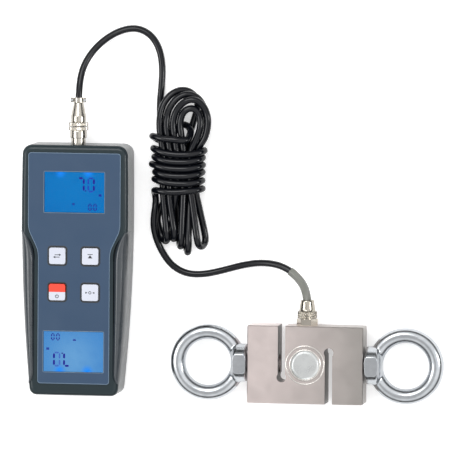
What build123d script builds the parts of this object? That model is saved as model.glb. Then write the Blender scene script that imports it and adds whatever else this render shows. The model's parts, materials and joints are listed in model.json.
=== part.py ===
from build123d import *
import math
import os

# Handheld force gauge: a meter with two displays, an S-type load cell with two eye bolts,
# and the cable between them, laid flat on a surface. All sizes are millimetres.
# The meter lies on its back: X across it, Y along it with the socket at the far end, Z up
# out of its face. The load cell lies beside it with its long axis along X.
# Points are first given from the meter's bottom edge and centre line, and save() moves
# each piece to the part's origin, the bottom centre of the meter and the load cell.

# ---- fits ---------------------------------------------------------------------------
SLIDE_GAP = 0.15  # a sliding cover or a loose insert, each side
RUNNING_GAP = 0.05  # a turning or threaded fit, on the radius
SEAT_GAP = 0.1  # between faces that nearly touch
KEY_GAP = 0.2  # a key in its hole, each side

# ---- meter case ---------------------------------------------------------------------
CASE_LENGTH = 164.0
CASE_DEPTH = 31.0
CASE_BELLY_HALF = 35.2  # half width where the case is widest
CASE_BOTTOM_HALF = CASE_BELLY_HALF - 6.2
CASE_TOP_HALF = CASE_BELLY_HALF - 0.5
CASE_BELLY_Y = CASE_LENGTH - 46.0
CASE_TOP_CORNER = 6.5
CASE_BOTTOM_CORNER = 5.0
CASE_WALL = 2.2
FACE_WALL = 2.0
SPLIT_Z = 16.0
FACE_ROUND = 3.0
BACK_ROUND = 4.0
LIP_HEIGHT = 1.2

# ---- side grips ---------------------------------------------------------------------
GRIP_SKIN = 2.2
GRIP_TOP_SKIN = 2.8
GRIP_PROUD = 0.3
GRIP_BASE_Z = 19.0
GRIP_ROUND = 6.5
GRIP_BACKING = 1.8  # case wall behind the grip
GRIP_TOP_Y = CASE_LENGTH - 56.5
GRIP_SHOULDER_Y = GRIP_TOP_Y - 19.5
GRIP_INNER_HALF = CASE_BELLY_HALF - 9.1
GRIP_FOOT_Y = 7.0
GRIP_FOOT_CORNER = 7.0

# ---- face label and windows ---------------------------------------------------------
LABEL_RECESS = 0.8
LABEL_THICK = 0.6
LABEL_WIDE_HALF = CASE_TOP_HALF - 4.1
LABEL_NARROW_HALF = GRIP_INNER_HALF - 2.3
LABEL_TOP_Y = CASE_LENGTH - 5.0
LABEL_BOTTOM_Y = 7.7
LABEL_SHOULDER_TOP_Y = GRIP_TOP_Y + 1.3
LABEL_SHOULDER_LOW_Y = LABEL_SHOULDER_TOP_Y - 14.3
LABEL_SHOULDER_ROUND = 18.0
LABEL_CORNER = 2.0
WINDOW_LENGTH = 39.8
WINDOW_WIDTH = 26.6
WINDOW_THICK = 0.6
WINDOW_CORNER = 0.6
WINDOW_LEDGE = 1.0
UPPER_WINDOW_Y = CASE_LENGTH - 30.8
LOWER_WINDOW_Y = 28.8

# ---- display modules ----------------------------------------------------------------
MODULE_LENGTH = WINDOW_LENGTH + 5.0
MODULE_WIDTH = WINDOW_WIDTH + 6.4
GLASS_THICK = 1.9

# ---- keys ---------------------------------------------------------------------------
KEY_SIZE = 10.9
KEY_CORNER = 1.5
KEY_HALF_SPACING = 10.9
KEY_ROW_SPACING = 23.7
KEY_MIDDLE_Y = (UPPER_WINDOW_Y + LOWER_WINDOW_Y) / 2 - 1.35
KEY_UPPER_Y = KEY_MIDDLE_Y + KEY_ROW_SPACING / 2
KEY_LOWER_Y = KEY_MIDDLE_Y - KEY_ROW_SPACING / 2
KEY_PROUD = 1.0
KEY_TRAVEL = 0.8
KEY_FLANGE = 0.85
KEY_FLANGE_THICK = 0.8
KEY_EDGE = 0.35
KEYPAD_BASE = 1.2
KEYPAD_MARGIN = 7.0
DOME_SIZE = 8.0

# ---- circuit board and its pieces ---------------------------------------------------
BOARD_Z = 20.0
BOARD_THICK = 1.6
BOARD_MARGIN = 1.2
STANDOFF_RADIUS = 2.2
CHIP_SIZE = 7.0
CHIP_THICK = 1.6
CHIP_GAP = 0.5  # between a chip and the keypad's edge
BUZZER_RADIUS = 4.5
BUZZER_X = -17.0
BUZZER_HEADROOM = 2.1
STANDOFF_LOW = (8.2, 10.0)  # in from the belly's half width, up from the door's end
STANDOFF_HIGH = (6.7, 52.0)  # in from the belly's half width, down from the case's end

# ---- case screws --------------------------------------------------------------------
POST_RADIUS = 3.3
TOP_POST_X = CASE_TOP_HALF - 8.2
TOP_POST_Y = CASE_LENGTH - 10.5
LOW_POST_X = CASE_BOTTOM_HALF - 8.5
LOW_POST_Y = 8.0
SCREW_RADIUS = 1.25
SCREW_HEAD_RADIUS = 2.4
SCREW_HEAD_HEIGHT = 1.8
SCREW_SINK = 5.0  # depth of the counterbore from the back
SCREW_BITE = 8.0  # thread length held in the front shell

# ---- battery compartment ------------------------------------------------------------
BATTERY_COUNT = 4
BATTERY_RADIUS = 5.15
BATTERY_LENGTH = 44.5
BATTERY_NUB_LENGTH = 1.1
BATTERY_NUB_RADIUS = 1.9
BATTERY_PITCH = 11.0
BATTERY_FIRST_Y = 20.0
CONTACT_SPACE = 1.7  # room for a contact at each battery end
CONTACT_THICK = 0.4
CONTACT_SIZE = 8.6
COMPARTMENT_WALL = 1.5
DOOR_THICK = 2.0
DOOR_HALF = CASE_BOTTOM_HALF - 3.5
DOOR_TONGUE = 1.0
DOOR_TOP_Y = 66.0
CHANNEL_FLOOR = 1.5  # wall above the door's channel

# ---- socket and plug ----------------------------------------------------------------
SOCKET_RADIUS = 4.7
SOCKET_BORE = 3.65
SOCKET_INSIDE = 6.0
SOCKET_THREAD_END = 7.1
SOCKET_NUT_ACROSS = 12.5
SOCKET_NUT_THICK = 2.0
PIN_RADIUS = 0.5
PIN_CIRCLE = 1.9
PIN_COUNT = 4
INSULATOR_FRONT = 1.0
PIN_LENGTH = 5.0
RING_START = 3.9  # where the coupling ring begins, from the case's end
RING_SLEEVE_RADIUS = 5.45
RING_SLEEVE_LENGTH = 5.3
RING_KNURL_RADIUS = 6.3
RING_KNURL_LENGTH = 2.0
KNURL_COUNT = 24
KNURL_NOTCH = 0.35
PLUG_COLLAR_THICK = 0.9
PLUG_NECK_RADIUS = 3.82
BACKSHELL_GAP = 1.3
BACKSHELL_RING_LENGTH = 2.1
BACKSHELL_RADIUS = 4.9
BACKSHELL_LENGTH = 3.8
BACKSHELL_TAPER = 8.7
BACKSHELL_TIP_RADIUS = 3.05
CLAMP_LENGTH = 3.2
CLAMP_OUTER_RADIUS = 3.5
CLAMP_EAR_HALF = 5.1
CLAMP_EAR_THICK = 1.2
CLAMP_SCREW_X = 4.2
CLAMP_SCREW_RADIUS = 0.4
CLAMP_HEAD_RADIUS = 0.85
CLAMP_HEAD_HEIGHT = 0.7

# ---- cable --------------------------------------------------------------------------
CABLE_RADIUS = 2.25
CABLE_IN_PLUG = 4.0  # cable length inside the backshell
CABLE_IN_GLAND = 8.0  # cable length inside the gland's cap
SLEEVE_RADIUS = 2.9
HANK_LOOP_TOP = 13.0  # height of the hank's looped ends
HANK_WRAP_TOP = 19.5  # height of the turns round its middle

# ---- load cell ----------------------------------------------------------------------
CELL_X = 151.5
CELL_Y = 22.5
CELL_Z = 12.5
CELL_LENGTH = 76.2
CELL_HEIGHT = 50.8
CELL_THICK = 19.05
CELL_EDGE = 0.5
SLOT_X = 15.5
SLOT_WIDTH = 4.8
SLOT_DEPTH = 33.7  # from the open side to the centre of the relief hole
RELIEF_RADIUS = 3.1
THREAD_RADIUS = 6.0
POCKET_RADIUS = 8.0
POCKET_WEB = 4.4
COVER_RADIUS = 9.3
COVER_THICK = 1.2
COVER_SINK = 0.8
COVER_EDGE = 0.3
LAND_RADIUS = 12.3
LAND_GROOVE = 0.4
LAND_GROOVE_DEPTH = 0.25
GAUGE_LENGTH = 5.0
GAUGE_WIDTH = 3.0
GAUGE_THICK = 0.15
GAUGE_OFFSET = 2.8
GAUGE_DROP = 1.5  # gauges below the pocket's centre
TERMINAL_LENGTH = 6.0
TERMINAL_WIDTH = 3.5
TERMINAL_THICK = 0.8
TERMINAL_RISE = 4.2  # terminal board above the pocket's centre
WIRE_HOLE_RADIUS = 1.8

# ---- cable gland on the load cell ---------------------------------------------------
GLAND_THREAD_RADIUS = 4.0
GLAND_THREAD_LENGTH = 8.0
GLAND_HEX_ACROSS = 12.0
GLAND_HEX_LENGTH = 4.3
GLAND_NECK_RADIUS = 4.2
GLAND_NECK_LENGTH = 4.2
GLAND_NUT_GAP = 0.3
GLAND_KNURL_RADIUS = 6.2
GLAND_KNURL_LENGTH = 4.8
GLAND_CAP_LENGTH = 7.2
GLAND_CAP_BASE = 4.9
GLAND_CAP_TIP = 3.95
GLAND_SEAL_LENGTH = 2.4

# ---- eye bolts ----------------------------------------------------------------------
EYE_INNER_RADIUS = 15.0
EYE_BAR = 10.0
EYE_LAND = 0.1  # how far the bore's land is cut into the round bar
EYE_CENTRE = 26.0  # from the collar's seat to the centre of the eye
COLLAR_RADIUS = 12.5
COLLAR_LENGTH = 9.0
COLLAR_EDGE = 0.8
COLLAR_GAP = 1.0  # collar to the load cell's end
BOLT_LENGTH = 19.0
BOLT_CHAMFER = 1.0

# ---- worked out from the sizes above ------------------------------------------------
RECESS_Z = CASE_DEPTH - LABEL_RECESS
INNER_FACE_Z = RECESS_Z - FACE_WALL
LABEL_TOP_Z = RECESS_Z + LABEL_THICK
BOARD_TOP_Z = BOARD_Z + BOARD_THICK
KEY_TOP_Z = LABEL_TOP_Z + KEY_PROUD
KEY_BASE_Z = INNER_FACE_Z - SEAT_GAP - KEY_FLANGE_THICK
DOME_TOP_Z = KEY_BASE_Z - KEY_TRAVEL - SEAT_GAP
ABOVE_KEYPAD_Y = (KEY_UPPER_Y + KEYPAD_MARGIN + UPPER_WINDOW_Y - MODULE_WIDTH / 2) / 2
SOCKET_NUT_Y = CASE_LENGTH - CASE_WALL
RING_Y = CASE_LENGTH + RING_START
RING_SHOULDER_Y = CASE_LENGTH + SOCKET_THREAD_END + SEAT_GAP + PLUG_COLLAR_THICK + SEAT_GAP
RING_END_Y = RING_Y + RING_SLEEVE_LENGTH + RING_KNURL_LENGTH
BACKSHELL_Y = RING_END_Y + BACKSHELL_GAP
TAPER_Y = BACKSHELL_Y + BACKSHELL_RING_LENGTH + BACKSHELL_LENGTH
TIP_Y = TAPER_Y + BACKSHELL_TAPER
CLAMP_END_Y = TIP_Y + CLAMP_LENGTH
CABLE_BORE = CABLE_RADIUS + RUNNING_GAP
EYE_OUTER_RADIUS = EYE_INNER_RADIUS + EYE_BAR
EYE_X = CELL_LENGTH / 2 + COLLAR_GAP + EYE_CENTRE
CELL_TOP_Y = CELL_Y + CELL_HEIGHT / 2
GLAND_NUT_Y = CELL_TOP_Y + GLAND_HEX_LENGTH + GLAND_NUT_GAP
GLAND_CAP_Y = GLAND_NUT_Y + GLAND_KNURL_LENGTH
GLAND_END_Y = GLAND_CAP_Y + GLAND_CAP_LENGTH
GLAND_NECK_END_Y = CELL_TOP_Y + GLAND_HEX_LENGTH + GLAND_NECK_LENGTH
DOOR_PAD_Z = DOOR_THICK + SEAT_GAP + CHANNEL_FLOOR
BATTERY_Z = DOOR_THICK + SEAT_GAP + SLIDE_GAP + BATTERY_RADIUS
BATTERY_SPAN = BATTERY_PITCH * (BATTERY_COUNT - 1)
COMPARTMENT_HALF = BATTERY_LENGTH / 2 + CONTACT_SPACE
COMPARTMENT_LOW_Y = BATTERY_FIRST_Y - BATTERY_RADIUS - SLIDE_GAP
COMPARTMENT_HIGH_Y = BATTERY_FIRST_Y + BATTERY_SPAN + BATTERY_RADIUS + SLIDE_GAP
COMPARTMENT_ROOF_Z = BATTERY_Z + BATTERY_RADIUS + SLIDE_GAP



# ---- helpers ------------------------------------------------------------------------
def part_origin():
    """Bottom centre of the meter and the load cell together, without the cable's pieces."""
    left, right = -(side_x(GRIP_TOP_Y) + GRIP_PROUD), CELL_X + EYE_X + EYE_OUTER_RADIUS
    low, high = min(0.0, CELL_Y - EYE_OUTER_RADIUS), CASE_LENGTH + SOCKET_THREAD_END
    return (left + right) / 2, (low + high) / 2


def save(node, shape):
    """Moves a piece to the part's origin and writes it under its node's name."""
    x, y = part_origin()
    export_step(Pos(-x, -y, 0) * shape, f"parts/{node}.step")


def group(pieces):
    """Several separate solids that share one node."""
    return Compound(children=list(pieces))


def box(low, high):
    """A box from its lowest corner to its highest."""
    size = [high[i] - low[i] for i in range(3)]
    middle = [(high[i] + low[i]) / 2 for i in range(3)]
    return Pos(*middle) * Box(*size)


def rod_y(radius, start, end, x, z):
    """A round rod along Y."""
    return Pos(x, (start + end) / 2, z) * Rot(90, 0, 0) * Cylinder(radius, end - start)


def rod_x(radius, start, end, y, z):
    """A round rod along X."""
    return Pos((start + end) / 2, y, z) * Rot(0, 90, 0) * Cylinder(radius, end - start)


def rod_z(radius, low, high, x, y):
    """A round rod along Z."""
    return Pos(x, y, (low + high) / 2) * Cylinder(radius, high - low)


def turned_y(profile, x, z):
    """A turned piece about a line along Y, from (radius, y) points."""
    face = make_face(Polyline(*profile, close=True))
    return Pos(x, 0, z) * revolve(face, Axis.Y)


def hex_y(across, start, end, x, z):
    """A hexagonal prism along Y."""
    hexagon = RegularPolygon(across / 2, 6, major_radius=False)
    return Pos(x, start, z) * Rot(-90, 0, 0) * extrude(hexagon, end - start)


def knurl_notches(radius, start, end, x, z):
    """Notches round a knurled ring whose axis is along Y."""
    turns = [2 * math.pi * i / KNURL_COUNT for i in range(KNURL_COUNT)]
    spots = [(x + radius * math.cos(t), z + radius * math.sin(t)) for t in turns]
    return [rod_y(KNURL_NOTCH, start, end, sx, sz) for sx, sz in spots]


def mirrored(shape):
    """The same shape on the other side of the meter."""
    return mirror(shape, about=Plane.YZ)


# ---- case outline -------------------------------------------------------------------
def side_x(y):
    """Half width of the case at a height y, on two long arcs that meet at the belly."""
    if y < CASE_BELLY_Y:
        rise, run = CASE_BELLY_HALF - CASE_BOTTOM_HALF, CASE_BELLY_Y
    else:
        rise, run = CASE_BELLY_HALF - CASE_TOP_HALF, CASE_LENGTH - CASE_BELLY_Y
    radius = (run**2 + rise**2) / (2 * rise)
    return CASE_BELLY_HALF - radius + math.sqrt(radius**2 - (y - CASE_BELLY_Y) ** 2)


def case_outline(inset):
    """The case seen from the front, drawn in by an inset."""
    low, high = inset, CASE_LENGTH - inset
    middle_low, middle_high = (low + CASE_BELLY_Y) / 2, (high + CASE_BELLY_Y) / 2
    right = [(side_x(y) - inset, y) for y in (low, middle_low, CASE_BELLY_Y, middle_high, high)]
    left = [(-x, y) for x, y in right]
    edges = [
        Line(left[0], right[0]),
        ThreePointArc(right[0], right[1], right[2]),
        ThreePointArc(right[2], right[3], right[4]),
        Line(right[4], left[4]),
        ThreePointArc(left[4], left[3], left[2]),
        ThreePointArc(left[2], left[1], left[0]),
    ]
    face = make_face(edges)
    low_corners = face.vertices().group_by(Axis.Y)[0]
    high_corners = face.vertices().group_by(Axis.Y)[-1]
    face = fillet(high_corners, max(CASE_TOP_CORNER - inset, 0.8))
    low_corners = face.vertices().group_by(Axis.Y)[0]
    return fillet(low_corners, max(CASE_BOTTOM_CORNER - inset, 0.8))


def slab(sketch, low, high):
    """A sketch on the XY plane made a solid between two heights."""
    return Pos(0, 0, low) * extrude(sketch, high - low)


def grip_region():
    """The area of the right grip, seen from the front: an arched top, a straight inner side."""
    outside = CASE_BELLY_HALF + 5
    inner, foot = GRIP_INNER_HALF, GRIP_FOOT_Y
    arch = (GRIP_TOP_Y - GRIP_SHOULDER_Y) * 0.68 + GRIP_SHOULDER_Y
    arch_x = inner + (CASE_BELLY_HALF - inner) * 0.31
    corner_x = inner + GRIP_FOOT_CORNER * (1 - math.sqrt(0.5))
    corner_y = foot + GRIP_FOOT_CORNER * (1 - math.sqrt(0.5))
    edges = [
        Line((outside, GRIP_TOP_Y), (CASE_BELLY_HALF, GRIP_TOP_Y)),
        ThreePointArc((CASE_BELLY_HALF, GRIP_TOP_Y), (arch_x, arch), (inner, GRIP_SHOULDER_Y)),
        Line((inner, GRIP_SHOULDER_Y), (inner, foot + GRIP_FOOT_CORNER)),
        ThreePointArc(
            (inner, foot + GRIP_FOOT_CORNER), (corner_x, corner_y), (inner + GRIP_FOOT_CORNER, foot)
        ),
        Line((inner + GRIP_FOOT_CORNER, foot), (outside, foot)),
        Line((outside, foot), (outside, GRIP_TOP_Y)),
    ]
    return make_face(edges)


def label_outline(margin):
    """The label: wide round the upper window, narrow between the grips."""
    right = [
        (LABEL_WIDE_HALF + margin, LABEL_TOP_Y + margin),
        (LABEL_WIDE_HALF + margin, LABEL_SHOULDER_TOP_Y),
        (LABEL_NARROW_HALF + margin, LABEL_SHOULDER_LOW_Y),
        (LABEL_NARROW_HALF + margin, LABEL_BOTTOM_Y - margin),
    ]
    left = [(-x, y) for x, y in reversed(right)]
    face = make_face(Polyline(*right, *left, close=True))
    rows = face.vertices().group_by(Axis.Y)
    face = fillet(rows[1] + rows[2], LABEL_SHOULDER_ROUND)
    ends = face.vertices().group_by(Axis.Y)
    return fillet(ends[0] + ends[-1], LABEL_CORNER + margin)


def window_outline(margin, y):
    """A display window, larger or smaller by a margin."""
    corner = max(WINDOW_CORNER + margin, 0.3)
    return Pos(0, y) * RectangleRounded(WINDOW_LENGTH + 2 * margin, WINDOW_WIDTH + 2 * margin, corner)


def key_outline(margin, x, y):
    """A key, larger or smaller by a margin."""
    return Pos(x, y) * RectangleRounded(KEY_SIZE + 2 * margin, KEY_SIZE + 2 * margin, KEY_CORNER + margin)


WINDOW_ROWS = (UPPER_WINDOW_Y, LOWER_WINDOW_Y)
KEY_PLACES = {
    "key_upper_left": (-KEY_HALF_SPACING, KEY_UPPER_Y),
    "key_upper_right": (KEY_HALF_SPACING, KEY_UPPER_Y),
    "key_lower_left": (-KEY_HALF_SPACING, KEY_LOWER_Y),
    "key_lower_right": (KEY_HALF_SPACING, KEY_LOWER_Y),
}
POST_PLACES = [
    (side * x, y) for side in (-1, 1) for x, y in ((TOP_POST_X, TOP_POST_Y), (LOW_POST_X, LOW_POST_Y))
]
STANDOFF_ROWS = (
    (CASE_BELLY_HALF - STANDOFF_LOW[0], DOOR_TOP_Y + STANDOFF_LOW[1]),
    (CASE_BELLY_HALF - STANDOFF_HIGH[0], CASE_LENGTH - STANDOFF_HIGH[1]),
)
STANDOFF_PLACES = [(side * x, y) for side in (-1, 1) for x, y in STANDOFF_ROWS]


# ---- meter pieces -------------------------------------------------------------------
def grip_prism():
    """Both grip areas, from the grips' lower edge upwards."""
    right = slab(grip_region(), GRIP_BASE_Z, CASE_DEPTH + 2)
    return right + mirrored(right)


def grip_core():
    """The case under the grips."""
    return slab(case_outline(GRIP_SKIN), SPLIT_Z, CASE_DEPTH - GRIP_TOP_SKIN)


def front_shell():
    """Upper half of the case, with the label's recess, the windows and the key holes."""
    body = slab(case_outline(0), SPLIT_Z, CASE_DEPTH)
    body = fillet(body.faces().sort_by(Axis.Z)[-1].edges(), FACE_ROUND)
    prism = grip_prism()
    body = (body - prism) + (grip_core() & prism)
    low = box((-60, -5, SPLIT_Z - 1), (60, GRIP_TOP_Y + CASE_WALL, INNER_FACE_Z + 1))
    wide = slab(case_outline(CASE_WALL), SPLIT_Z, INNER_FACE_Z)
    narrow_top = CASE_DEPTH - GRIP_TOP_SKIN - GRIP_BACKING
    narrow = slab(case_outline(GRIP_SKIN + GRIP_BACKING), SPLIT_Z, narrow_top)
    middle = box(
        (-GRIP_INNER_HALF + GRIP_BACKING, GRIP_SKIN + GRIP_BACKING, SPLIT_Z),
        (GRIP_INNER_HALF - GRIP_BACKING, GRIP_TOP_Y + CASE_WALL, INNER_FACE_Z),
    )
    body = body - ((wide - low) + (narrow & low) + middle)
    rebate = slab(case_outline(CASE_WALL / 2), SPLIT_Z, SPLIT_Z + LIP_HEIGHT + SEAT_GAP)
    body = body - rebate
    for x, y in POST_PLACES:
        body = body + rod_z(POST_RADIUS, SPLIT_Z, INNER_FACE_Z + FACE_WALL / 2, x, y)
        body = body - rod_z(SCREW_RADIUS + RUNNING_GAP, SPLIT_Z, SPLIT_Z + SCREW_BITE + 1, x, y)
    body = body - slab(label_outline(SLIDE_GAP), RECESS_Z, CASE_DEPTH + 1)
    for y in WINDOW_ROWS:
        body = body - slab(window_outline(-WINDOW_LEDGE, y), INNER_FACE_Z - 1, RECESS_Z + 1)
    for x, y in KEY_PLACES.values():
        body = body - slab(key_outline(KEY_GAP, x, y), INNER_FACE_Z - 1, RECESS_Z + 1)
    return body - rod_y(SOCKET_RADIUS + RUNNING_GAP, CASE_LENGTH - 4, CASE_LENGTH + 1, 0, SPLIT_Z)


def grip():
    """The right grip: a soft rounded skin over the side of the front shell."""
    top = CASE_DEPTH + GRIP_PROUD
    body = slab(case_outline(-GRIP_PROUD), GRIP_BASE_Z, top)
    body = fillet(body.faces().sort_by(Axis.Z)[-1].edges(), GRIP_ROUND)
    region = slab(grip_region(), GRIP_BASE_Z, top)
    body = (body & region) - grip_core()
    return body.solids().sort_by(SortBy.VOLUME)[-1]


def door_profile(gap, top_y):
    """The battery door's plate and its side tongues, with a gap all round."""
    plate = box((-DOOR_HALF - gap, -5, -1), (DOOR_HALF + gap, top_y, DOOR_THICK / 2 + 0.01))
    half = DOOR_HALF + DOOR_TONGUE + gap
    tongue_low, tongue_high = DOOR_THICK / 2, DOOR_THICK
    if gap:
        tongue_low, tongue_high = tongue_low - SEAT_GAP / 2, tongue_high + SEAT_GAP
    return plate + box((-half, -5, tongue_low), (half, top_y, tongue_high))


def rear_outer():
    """The outside of the case's lower half."""
    body = slab(case_outline(0), 0, SPLIT_Z)
    return fillet(body.faces().sort_by(Axis.Z)[0].edges(), BACK_ROUND)


def rear_shell():
    """Lower half of the case, with the battery compartment, the screw posts and the lip."""
    cavity = slab(case_outline(CASE_WALL), CASE_WALL, SPLIT_Z + 1)
    inside = rear_outer() & cavity
    wall_half = COMPARTMENT_HALF + COMPARTMENT_WALL
    pad_half = DOOR_HALF + DOOR_TONGUE + CHANNEL_FLOOR
    pad = box((-pad_half, 0, 0), (pad_half, DOOR_TOP_Y + CHANNEL_FLOOR, DOOR_PAD_Z))
    tub = box(
        (-wall_half, COMPARTMENT_LOW_Y - COMPARTMENT_WALL, 0),
        (wall_half, COMPARTMENT_HIGH_Y + COMPARTMENT_WALL, COMPARTMENT_ROOF_Z + COMPARTMENT_WALL),
    )
    room = box(
        (-COMPARTMENT_HALF, COMPARTMENT_LOW_Y, 0),
        (COMPARTMENT_HALF, COMPARTMENT_HIGH_Y, COMPARTMENT_ROOF_Z),
    )
    body = (rear_outer() - cavity) + (inside & (pad + tub))
    posts = [rod_z(POST_RADIUS, CASE_WALL / 2, SPLIT_Z, x, y) for x, y in POST_PLACES]
    stands = [rod_z(STANDOFF_RADIUS, CASE_WALL / 2, BOARD_Z, x, y) for x, y in STANDOFF_PLACES]
    for post in posts + stands:
        body = body + post
    lip = slab(case_outline(CASE_WALL / 2 + SEAT_GAP), SPLIT_Z - 1, SPLIT_Z + LIP_HEIGHT)
    body = body + (lip - slab(case_outline(CASE_WALL), SPLIT_Z - 2, SPLIT_Z + 2))
    body = body - room - door_profile(SLIDE_GAP, DOOR_TOP_Y + SLIDE_GAP)
    for x, y in POST_PLACES:
        body = body - rod_z(SCREW_RADIUS + SEAT_GAP, -1, SPLIT_Z + 1, x, y)
        body = body - rod_z(SCREW_HEAD_RADIUS + SLIDE_GAP, -1, SCREW_SINK, x, y)
    return body - rod_y(SOCKET_RADIUS + RUNNING_GAP, CASE_LENGTH - 4, CASE_LENGTH + 1, 0, SPLIT_Z)


def battery_door():
    """Sliding cover on the back, with finger ribs near its upper end."""
    door = rear_outer() & door_profile(0, DOOR_TOP_Y)
    for step in range(5):
        y = DOOR_TOP_Y - 6 - 2.4 * step
        door = door - box((-9, y - 0.6, -1), (9, y + 0.6, 0.5))
    return door


def label_panel():
    """The face label, with openings for the windows and the keys."""
    body = slab(label_outline(0), RECESS_Z, LABEL_TOP_Z)
    for y in WINDOW_ROWS:
        body = body - slab(window_outline(SEAT_GAP, y), RECESS_Z - 1, LABEL_TOP_Z + 1)
    for x, y in KEY_PLACES.values():
        body = body - slab(key_outline(KEY_GAP * 2, x, y), RECESS_Z - 1, LABEL_TOP_Z + 1)
    return body


def key(x, y):
    """One key: a square cap and the flange that holds it under the face."""
    flange = slab(key_outline(KEY_FLANGE, x, y), KEY_BASE_Z, KEY_BASE_Z + KEY_FLANGE_THICK)
    cap = slab(key_outline(0, x, y), KEY_BASE_Z, KEY_TOP_Z)
    cap = fillet(cap.faces().sort_by(Axis.Z)[-1].edges(), KEY_EDGE)
    return flange + cap


def keypad_mat():
    """Rubber mat on the board with a dome under each key."""
    half_x = KEY_HALF_SPACING + KEYPAD_MARGIN
    low_y, high_y = KEY_LOWER_Y - KEYPAD_MARGIN, KEY_UPPER_Y + KEYPAD_MARGIN
    top = BOARD_TOP_Z + KEYPAD_BASE
    mat = box((-half_x, low_y, BOARD_TOP_Z), (half_x, high_y, top))
    for x, y in KEY_PLACES.values():
        foot = Plane((x, y, top)) * RectangleRounded(DOME_SIZE + 3, DOME_SIZE + 3, 2)
        head = Plane((x, y, DOME_TOP_Z)) * RectangleRounded(DOME_SIZE, DOME_SIZE, 1.5)
        mat = mat + loft([foot, head])
    return mat


def main_board():
    """Circuit board, notched round the screw posts."""
    inset = GRIP_SKIN + GRIP_BACKING + BOARD_MARGIN
    board = slab(case_outline(inset), BOARD_Z, BOARD_TOP_Z)
    for x, y in POST_PLACES:
        board = board - rod_z(POST_RADIUS + SEAT_GAP, BOARD_Z - 1, BOARD_TOP_Z + 1, x, y)
    socket_end = CASE_LENGTH - SOCKET_INSIDE - SOCKET_NUT_THICK
    half = SOCKET_NUT_ACROSS / 2 + 1
    return board - box((-half, socket_end - 1, BOARD_Z - 1), (half, CASE_LENGTH, BOARD_TOP_Z + 1))


def board_chips():
    """Integrated circuits on the board: one each side of the keypad and one above it."""
    half = CHIP_SIZE / 2
    beside = KEY_HALF_SPACING + KEYPAD_MARGIN + CHIP_GAP + half
    spots = [(-beside, KEY_MIDDLE_Y), (beside, KEY_MIDDLE_Y), (0.0, ABOVE_KEYPAD_Y)]
    low, high = BOARD_TOP_Z, BOARD_TOP_Z + CHIP_THICK
    return group(box((x - half, y - half, low), (x + half, y + half, high)) for x, y in spots)


def battery_places():
    """Y of each battery and which end its positive nub is at."""
    return [(BATTERY_FIRST_Y + BATTERY_PITCH * i, 1 if i % 2 else -1) for i in range(BATTERY_COUNT)]


def batteries():
    """Four small cells side by side, turned about in pairs."""
    half = BATTERY_LENGTH / 2
    body_end = half - BATTERY_NUB_LENGTH
    pieces = []
    for y, way in battery_places():
        can = rod_x(BATTERY_RADIUS, *sorted((-way * half, way * body_end)), y, BATTERY_Z)
        nub = rod_x(BATTERY_NUB_RADIUS, *sorted((way * body_end, way * half)), y, BATTERY_Z)
        pieces.append(can + nub)
    return group(pieces)


def battery_contacts():
    """A plate at each battery end, with a cone spring at each negative end."""
    half, room = BATTERY_LENGTH / 2, COMPARTMENT_HALF
    side = CONTACT_SIZE / 2
    pieces = []
    for y, way in battery_places():
        for end in (-1, 1):
            inner = room - CONTACT_THICK
            xs = sorted((end * inner, end * room))
            plate = box((xs[0], y - side, BATTERY_Z - side), (xs[1], y + side, BATTERY_Z + side))
            reach = inner - half - SEAT_GAP
            wide, narrow = (2.0, 1.5) if end == way else (3.6, 2.4)
            cone = Cone(wide, narrow, reach)
            middle = end * (inner - reach / 2)
            pieces.append(plate + Pos(middle, y, BATTERY_Z) * Rot(0, -90 * end, 0) * cone)
    return group(pieces)


def case_screws():
    """Four self-tapping screws put in from the back."""
    head_low = SCREW_SINK - SCREW_HEAD_HEIGHT
    pieces = []
    for x, y in POST_PLACES:
        shank = rod_z(SCREW_RADIUS, SCREW_SINK, SPLIT_Z + SCREW_BITE, x, y)
        head = rod_z(SCREW_HEAD_RADIUS, head_low, SCREW_SINK, x, y)
        cross = box((x - 1.6, y - 0.3, head_low - 1), (x + 1.6, y + 0.3, head_low + 0.8))
        cross = cross + box((x - 0.3, y - 1.6, head_low - 1), (x + 0.3, y + 1.6, head_low + 0.8))
        pieces.append(shank + head - cross)
    return group(pieces)


# ---- socket and plug ----------------------------------------------------------------
def pin_places():
    """Centres of the contact pins round the socket's axis."""
    turns = [2 * math.pi * (i + 0.5) / PIN_COUNT for i in range(PIN_COUNT)]
    return [(PIN_CIRCLE * math.cos(t), SPLIT_Z + PIN_CIRCLE * math.sin(t)) for t in turns]


def panel_socket():
    """Threaded socket shell through the case's end wall."""
    start, end = CASE_LENGTH - SOCKET_INSIDE, CASE_LENGTH + SOCKET_THREAD_END
    body = rod_y(SOCKET_RADIUS, start, end, 0, SPLIT_Z)
    return body - rod_y(SOCKET_BORE, start - 1, end + 1, 0, SPLIT_Z)


def socket_nut():
    """Nut that holds the socket from inside the case."""
    nut = hex_y(SOCKET_NUT_ACROSS, SOCKET_NUT_Y - SOCKET_NUT_THICK, SOCKET_NUT_Y - SEAT_GAP, 0, SPLIT_Z)
    return nut - rod_y(SOCKET_RADIUS + RUNNING_GAP, SOCKET_NUT_Y - 9, SOCKET_NUT_Y + 1, 0, SPLIT_Z)


def socket_insulator():
    """Insulator in the socket that carries the pins."""
    start, end = CASE_LENGTH - SOCKET_INSIDE + 1, CASE_LENGTH + INSULATOR_FRONT
    body = rod_y(SOCKET_BORE - RUNNING_GAP, start, end, 0, SPLIT_Z)
    for x, z in pin_places():
        body = body - rod_y(PIN_RADIUS + RUNNING_GAP, start - 1, end + 1, x, z)
    return body


def socket_pins():
    """Contact pins, from behind the insulator into the plug."""
    start = CASE_LENGTH - SOCKET_INSIDE
    end = CASE_LENGTH + INSULATOR_FRONT + PIN_LENGTH
    return group(rod_y(PIN_RADIUS, start, end, x, z) for x, z in pin_places())


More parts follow.
